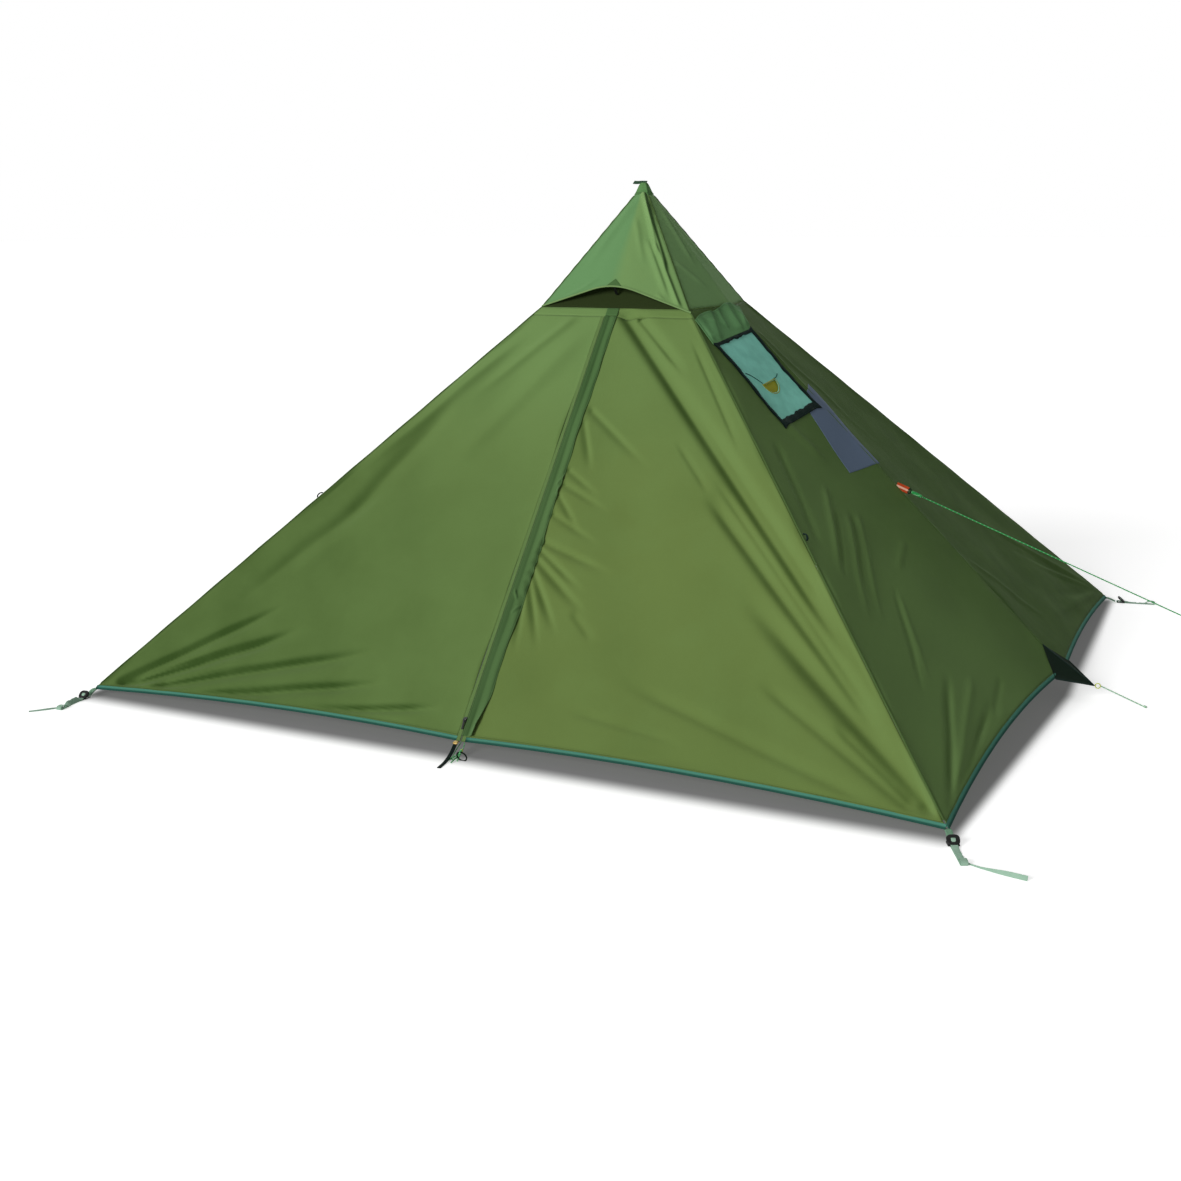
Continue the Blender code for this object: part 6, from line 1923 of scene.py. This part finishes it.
@dataclass(frozen=True)
class CornerTensioner:
    """A corner's webbing: the sewn tab through the ladder lock's bar, and the peg loop threaded over it."""

    yaws: tuple[tuple[str, float], ...] = (
        ("front_left", 6.0), ("front_right", 26.0), ("rear_right", 100.0), ("rear_left", 100.0)
    )
    webbing: float = 0.020
    thickness: float = 0.0012
    tab: float = 0.0034
    eye: float = 0.0028
    reach: float = 0.042
    lock_thickness: float = 0.0034
    lock_length: float = 0.0268
    loop_reach: float = 0.190
    eye_length: float = 0.042
    eye_height: float = 0.013

    def frame(self, name: str, yaw: float) -> tuple[Array, Array, int]:
        """Plan direction away from the tent, ground point and side of a corner."""
        x = 1 if name.endswith("right") else -1
        y = -1 if name.startswith("front") else 1
        turn = -1 if name == "front_left" else 1
        angle = math.radians(yaw)
        out = point(turn * x * math.sin(angle), -math.cos(angle), 0)
        return out, PITCH.corner(x, y) * point(1, 1, 0), x

    def build(self) -> None:
        """All four corners."""
        for name, yaw in self.yaws:
            out, base, x = self.frame(name, yaw)
            side = np.cross(out, UP_Z)
            self.make_tab(name, out, base, side)
            self.make_rim(name, out, base, side)
            self.make_loop(name, out, base, side, x)

    def make_tab(self, name: str, out: Array, base: Array, side: Array) -> None:
        """The tab: webbing doubled round the lock's bar, a closed loop at its end."""
        bar = self.eye + self.thickness
        top = PITCH.foot_height - 0.0024 * 0.75 - GAP - self.tab / 2
        line = lay(base, out, UP_Z, ((-0.014, top), (0.0047, top), (self.reach - bar * 2.4, bar * 1.35)), 24)
        strand(
            "tab_web_" + name, line, UP_Z, (self.webbing, self.tab, 14, 0.4), TAB_WEB, "shelter",
            "corner_tab_" + name
        )
        round_ = bar - 0.0007
        wrap = arc(
            base + out * self.reach + UP_Z * bar, out * -round_, UP_Z * round_, np.linspace(0.0, TAU, 34)
        )
        strand("tab_hoop_" + name, wrap, side, (self.thickness, self.webbing, 12, 0.4), TAB_WEB, "shelter")

    def make_rim(self, name: str, out: Array, base: Array, side: Array) -> None:
        """The lock's raised rim, a D standing up from its bars, and the webbing inside it."""
        tilt = math.radians(38.0)
        along = out * math.cos(tilt) - UP_Z * math.sin(tilt)
        normal = out * math.sin(tilt) + UP_Z * math.cos(tilt)
        middle = base + out * (self.reach + 0.0135) + UP_Z * 0.0150
        angle = np.linspace(0, TAU, 65)
        bow, wide = np.cos(angle), np.sin(angle)
        bow = np.where(bow < 0, -np.abs(bow) ** 0.45 * 0.0100, bow * 0.0128)
        wide = np.sign(wide) * np.abs(wide) ** 0.75 * 0.0120
        ring = middle + along * bow[:, None] + side * wide[:, None]
        strand("lock_rim_" + name, ring, normal, (0.0128, 0.0070, 12, 0.7), ACETAL, "tensioner_" + name)
        share = np.linspace(-1, 1, 26)
        path = middle + along * (share * 0.0080)[:, None] + normal * (0.0030 * (1 - share**2))[:, None]
        strand(
            "lock_web_" + name, path, normal, (0.0125, self.thickness, 14, 0.5), PALE_WEB, "tensioner_" + name
        )

    def make_loop(self, name: str, out: Array, base: Array, side: Array, x: int) -> None:
        """The peg loop: under the lock, up its first slot, back over its bars, an eye at the far end."""
        bar, t = self.eye + self.thickness, self.thickness
        low = GAP + t / 2
        over = bar + self.lock_thickness / 2 + GAP + t / 2
        second = low + t + GAP
        rise = self.reach + self.lock_length * 0.33 - GAP - t / 2
        end = self.reach + self.lock_length
        eye = self.loop_reach - self.eye_length
        knots = (
            [eye - 0.020, second], [eye, second], [eye + self.eye_length * 0.35, self.eye_height * 0.85],
            [eye + self.eye_length * 0.70, self.eye_height],
            [eye + self.eye_length * 0.95, self.eye_height * 0.75],
            [eye + self.eye_length, self.eye_height * 0.40], [eye + self.eye_length * 0.90, low],
            [eye + self.eye_length * 0.45, low],
            [eye - 0.020, low], [rise + 0.030, low], [rise + 0.004, low], [rise, low + t],
            [rise, over - t / 2], [rise + t, over],
            [rise + 0.008, over], [end, over], [end + self.lock_length * 0.5, (over + second) / 2],
            [end + self.lock_length, second], [end + self.lock_length * 1.8, second],
        )
        line = lay(base, out, UP_Z, knots, 190)
        ups = np.cross(side, unit(np.gradient(line, axis=0)))
        if name == "front_left":
            away = (line - base) @ out
            lean = 0.75 * smooth(away, end + 0.004, end + 0.024) * (
                1 - smooth(away, eye - 0.016, eye + 0.006)
            )
            ups = ups * np.cos(lean)[:, None] - side * np.sin(lean)[:, None] * np.sign(ups[:, 2:] + 1e-9)
            line = line + UP_Z * (np.sin(lean) * self.webbing / 2)[:, None]
        strand(
            "peg_web_" + name, line, ups, (self.webbing, t, 14, 0.4), PALE_WEB, "tensioner_" + name,
            "peg_loop_" + name
        )
        if name.startswith("front"):
            self.make_tail(name, out, base + UP_Z * (low + 0.0001), x)

    def make_tail(self, name: str, out: Array, base: Array, x: int) -> None:
        """The loose tail of a front corner: it leaves the loop near its eye and drifts aside on its edge."""
        s = np.linspace(0, 1, 30)
        wide = mix(0.010, 0.006, s)
        reach, drift = 0.085, 0.080
        if name == "front_right":
            wide = mix(0.007, 0.019, smooth(s, 0.30, 0.85)) * 0.72
            reach, drift = 0.125, 0.135
        place = base + out * (self.loop_reach - self.eye_length * 0.45)
        aside = point(-out[1], out[0], 0) * (x * drift * s**1.4)[:, None]
        turn = mix(0.6, 1.15, smooth(s, 0.10, 0.6))
        path = place + out * (reach * s - 0.014)[:, None] + aside
        path = path + UP_Z * (np.sin(turn) * wide / 2 + 0.0006)[:, None]
        flat = unit(np.cross(np.gradient(path, axis=0), UP_Z))
        ups = arc(0, UP_Z, flat, turn)
        outline = oval(1.0, 1.0, 12, 0.4) * np.stack([wide, np.full(30, 0.0010)], -1)[:, None]
        ride(swept("peg_tail_" + name, path, ups, outline, PALE_WEB), "tensioner_" + name)


@dataclass(frozen=True)
class DoorFoot:
    """The pull strap and the cords sewn to the doors at the zip's foot, and the cord of the gusset's ring."""

    strap: float = 0.150
    ring: float = 0.0165
    cord_radius: float = 0.0013
    reach: float = 0.0375

    def build_cords(self) -> None:
        """The green cord loop under the hem, and the pale cord from the gusset's ring to the ground."""
        radius = self.cord_radius
        low = radius + GAP
        base = PITCH.zip_foot + point(0.0010 + 0.0075, 0.0005, 0)
        top = base[2] + 0.0012 * FRONT_OUT[1] - GAP
        turn = np.linspace(-0.82, 0.82, 39) * math.pi
        forward = self.reach * (np.cos(turn) - math.cos(turn[0]))
        share = np.clip(forward / self.reach / 1.2, 0, 1)
        height = mix(top - radius, low, share**0.8)
        path = np.stack([base[0] + self.reach * 0.3 * np.sin(turn), base[1] - forward, height], -1)
        item = strand(
            "door_cord_loop", path, UP_Z, (radius * 2, radius * 2, 10, 1.0), GUY_CORD, "door_right",
            "door_cord"
        )
        start = point(1.68144, 0, 0.048)
        end = point(1.83144, -0.030, 0.0025)
        share = np.linspace(0, 1, 30)[:, None]
        path = mix(start, end, share)
        item = strand(
            "gusset_cord_line", path, UP_Z, (0.0044, 0.0044, 10, 1.0), PALE_CORD, "shelter", "gusset_cord"
        )
        turn = np.linspace(0, 1, 90)
        along = unit(end - start)
        up = unit(np.cross(along, UP_Y))
        knot = end - along * 0.006 + along * (turn * 0.0075)[:, None]
        knot = knot + arc(0, up, np.cross(along, up), turn * TAU * 3) * 0.0026 + UP_Z * 0.0016
        end_knot = strand("gusset_cord_knot", knot, along, (0.0030, 0.0030, 8, 1.0), PALE_CORD, "shelter")

    def build(self) -> None:
        """The strap, with a pale bead at its head, and a black cord ring."""
        start = PITCH.zip_foot - point(0.0010 + 0.0090, 0, 0)
        height = start[2] - 0.0012 * 0.757 - GAP - 0.0012
        low = 0.0012 + GAP
        out = unit(point(0.15, -1, 0))
        reach = self.strap
        knots = [
            (0, height), (reach * 0.10, height), (reach * 0.35, mix(height, low, 0.6)),
            (reach * 0.65, mix(height, low, 0.95)), (reach, low)
        ]
        line = lay(start * point(1, 1, 0), out, UP_Z, knots, 60)
        strand("door_pull_strap", line, UP_Z, (0.013, 0.0026, 14, 0.5), STRAP_WEB, "door_left", "door_strap")
        head = line[6] + UP_Z * 0.0030
        strand(
            "strap_bead", head + out * np.linspace(-0.006, 0.006, 12)[:, None], UP_Z,
            (0.0150, 0.0075, 14, 0.8), BEAD, "door_left"
        )
        angle = np.linspace(-0.05, TAU - 0.55, 60)
        middle = PITCH.zip_foot * point(1, 1, 0) + point(0.044, -0.066, 0.0150)
        ring = arc(middle, unit(point(0, -0.35, 1)) * self.ring, UP_X * self.ring, angle)
        strand(
            "foot_ring_cord", ring, point(0.2, -1, -0.3), (0.0046, 0.0046, 10, 1.0), BLACK_CORD, "door_right"
        )
        tag = point(*PITCH.zip_foot[:2], 0) + point(0.018, -0.022, 0.020)
        strand(
            "cord_collar", tag + point(0, -0.25, -1) * np.linspace(0, 0.009, 10)[:, None], UP_X,
            (0.0085, 0.0070, 12, 0.8), YELLOW, "door_right"
        )
        for number, (aside, ahead) in enumerate(((0.006, 0.075), (-0.012, 0.060), (0.016, 0.055))):
            knots = np.array(
                [tag, tag + point(aside * 0.3, -0.020, -0.010), tag + point(aside, -ahead, -tag[2] + 0.0028)]
            )
            strand(
                "foot_strand_%d" % number, curve_through(knots, 20), UP_Z, (0.0046, 0.0040, 8, 0.9), STRAND,
                "door_right"
            )


@dataclass(frozen=True)
class RidgeLoops:
    """The sewn loops beside the front ridges that hold a rolled-back door."""

    length: float = 0.026

    def build(self) -> None:
        """Each loop: a strip of webbing bent up from the cloth and back."""
        for side in Side:
            x = side.value
            kink, corner = PITCH.kink(x, -1), PITCH.corner(x, -1)
            ridge = unit(corner - kink)
            place = mix(kink, corner, 0.5)
            face = SIDE[side, End.FRONT]
            inwards = face.right[0] + face.right[1] - kink - corner
            inwards = unit(inwards - ridge * (inwards @ ridge))
            outward = facing(np.cross(inwards, ridge), UP_Z)
            base = place + inwards * 0.009 + outward * 0.0006
            half = self.length / 2 - 0.0014
            places, heights = (-1, -1, -0.6, 0, 0.6, 1, 1), (
                0.001, 0.0045, 0.0080, 0.0092, 0.0080, 0.0045, 0.001
            )
            line = lay(base, ridge, outward, [(half * a, b) for a, b in zip(places, heights)], 48)
            ups = np.cross(inwards, unit(np.gradient(line, axis=0)))
            strand(
                "ridge_web_" + side.low, line, ups, (0.0080, 0.0036, 12, 0.5), DARK_WEB, "shelter",
                "ridge_loop_" + side.low
            )


@dataclass(frozen=True)
class RigidFittings:
    """Solids whose shape is right as they are: pole, locks, slider, pull, prop and ring."""

    def build(self) -> None:
        """Gives each kept solid its finish."""
        nodes = frame["nodes"]
        finishes = {
            "pole_foot": RUBBER, "pole_lower": ALUMINIUM, "pole_middle": ALUMINIUM, "pole_upper": ALUMINIUM,
            "pole_tip": ACETAL, "zip_slider": ZINC, "zip_pull": ACETAL, "hood_strut": ACETAL,
            "gusset_ring": YELLOW,
        }
        for name, _ in CornerTensioner().yaws:
            finishes["ladder_lock_" + name] = ACETAL
        for name, finish in finishes.items():
            mesh = nodes[name].data
            mesh.materials.clear()
            mesh.materials.append(finish.material())
            LOG.info("%s keeps its solid, in %s", name, finish.name)


@dataclass(frozen=True)
class Studio:
    """The white floor and backdrop, plain soft light and the camera. Its angles are in degrees.

    The painted shade on the floor starts at the foot's edges, bowed along the sides, and rises over its
    reach.
    """

    ambient: float = 0.20
    key: float = 2.62
    key_spread: float = 24.0
    fill: float = 1.60
    fill_spread: float = 60.0
    sensor: float = 36.0
    lens: float = 47.177
    sight: float = 200.0
    turn: float = 26.554
    fall: float = 14.096
    roll: float = -0.718
    stand: tuple[float, float, float] = (2.368, -5.207, 1.649)
    foot_edges: tuple[float, float] = (1.56, 1.355)
    side_bow: float = 0.045
    side_falloff: float = 2.5
    shade_reach: tuple[float, float] = (-0.02, 0.13)
    darkest: float = 0.15
    glow: float = 0.45
    floor_half: float = 60.0

    def pose(self, item: bpy.types.Object, *columns: Array) -> None:
        """Sets an object's three axes and its place."""
        matrix = np.eye(4)
        matrix[:3, :] = np.stack(columns, -1)
        item.matrix_world = Matrix(matrix.tolist())

    def camera(self) -> None:
        """A camera 5.9 m from the tent: 26.6 degrees round to its right, looking 14.1 degrees down."""
        lens = bpy.data.cameras.new("camera")
        lens.sensor_width, lens.lens, lens.clip_end = self.sensor, self.lens, self.sight
        item = link("camera", lens)
        turn, fall, roll = (math.radians(v) for v in (self.turn, self.fall, self.roll))
        forward = point(-math.sin(turn) * math.cos(fall), math.cos(turn) * math.cos(fall), -math.sin(fall))
        right = point(math.cos(turn), math.sin(turn), 0)
        up = np.cross(right, forward)
        rolled = math.cos(roll) * right + math.sin(roll) * up
        upright = -math.sin(roll) * right + math.cos(roll) * up
        self.pose(item, rolled, upright, -forward, point(*self.stand))
        bpy.context.scene.camera = item

    def seen(self, n: Nodes) -> bpy.types.NodeSocket:
        """1 for what the camera sees, straight, in gloss or through glass."""
        rays = n.add("LightPath", {}).outputs
        sight = n.maths("MAXIMUM", rays["Is Camera Ray"], rays["Is Glossy Ray"])
        return n.maths("MAXIMUM", sight, rays["Is Transmission Ray"])

    def world(self) -> None:
        """Even light from all round, and white where the camera looks."""
        world = bpy.data.worlds.new("studio")
        bpy.context.scene.world = world
        world.use_nodes = True
        n = Nodes(world.node_tree)
        sky = n.tree.nodes["Background"].inputs
        sky["Color"].default_value = (1.0, 1.0, 1.0, 1.0)
        level = n.maths("MULTIPLY_ADD", self.seen(n), 1.0 - self.ambient, self.ambient)
        n.tree.links.new(level, sky["Strength"])

    def lamp(self, name: str, towards: Array, strength: float, spread: float, shadow: bool) -> None:
        """A distant soft lamp shining from this direction."""
        light = bpy.data.lights.new(name, "SUN")
        light.energy = strength
        light.angle = math.radians(spread)
        light.use_shadow = shadow
        back = unit(towards)
        side = unit(np.cross(UP_Z, back))
        self.pose(link(name, light), side, np.cross(back, side), back, np.zeros(3))

    def floor(self) -> None:
        """A white floor that darkens softly beside and under the hem, where little light reaches it."""
        material = bpy.data.materials.new("studio_floor")
        material.use_nodes = True
        n = Nodes(material.node_tree)
        n.tree.nodes.remove(n.tree.nodes["Principled BSDF"])
        # Painted shade: the floor's colour is darkened by its distance from the tent's foot, darkest under
        # the hem, standing in for the shadow there; the emission carries the same painted shade.
        apart = n.add("SeparateXYZ", {0: n.place()}).outputs
        x, y = (n.maths("ABSOLUTE", apart[k]) for k in (0, 1))
        side, front = self.foot_edges
        bow = n.maths("MULTIPLY_ADD", y, -self.side_bow, side)
        dx = n.times(n.maths("MAXIMUM", n.minus(x, bow), 0.0), self.side_falloff)
        dy = n.maths("MAXIMUM", n.minus(y, front), 0.0)
        away = n.maths("SQRT", n.plus(n.times(dx, dx), n.times(dy, dy)))
        shade = n.ramp(away, *self.shade_reach, self.darkest, 1.0, interpolation_type="SMOOTHERSTEP")
        plain = n.add("BsdfDiffuse", {"Color": (0.8, 0.8, 0.8, 1.0)}).outputs[0]
        shown = n.add("BsdfDiffuse", {"Color": shade}).outputs[0]
        glow = n.add("Emission", {"Strength": self.glow, "Color": shade}).outputs[0]
        both = n.add("AddShader", {0: shown, 1: glow}).outputs[0]
        mixed = n.add("MixShader", {0: self.seen(n), 1: plain, 2: both}).outputs[0]
        n.tree.links.new(mixed, n.tree.nodes["Material Output"].inputs[0])
        mesh, half = bpy.data.meshes.new("floor"), self.floor_half
        mesh.from_pydata(
            [(-half, -half, 0), (half, -half, 0), (half, half, 0), (-half, half, 0)], [], [(0, 1, 2, 3)]
        )
        mesh.materials.append(material)
        link("floor", mesh)

    def build(self) -> None:
        """World, lamps, floor and view settings."""
        self.world()
        self.lamp("key_lamp", point(-0.34, -0.88, 0.34), self.key, self.key_spread, True)
        self.lamp("fill_lamp", point(-0.60, 0.70, 0.35), self.fill, self.fill_spread, False)
        self.floor()
        bpy.context.scene.view_settings.view_transform = "Standard"


def main() -> None:
    """Builds the camera and the cords first, then every sub-assembly."""
    logging.basicConfig(level=logging.INFO, format="%(name)s %(message)s")
    studio = Studio()
    studio.camera()
    TieOut().build_cords()
    DoorFoot().build_cords()
    for assembly in (
        Canopy(), Hems(), Seams(), Cap(), Vent(), ZipFront(), StoveWindow(), Gusset(), TieOut(),
        CornerTensioner(), DoorFoot(), RidgeLoops(), RigidFittings()
    ):
        assembly.build()
        LOG.info("%s done", type(assembly).__name__)
    studio.build()


if __name__ == "__main__":
    main()
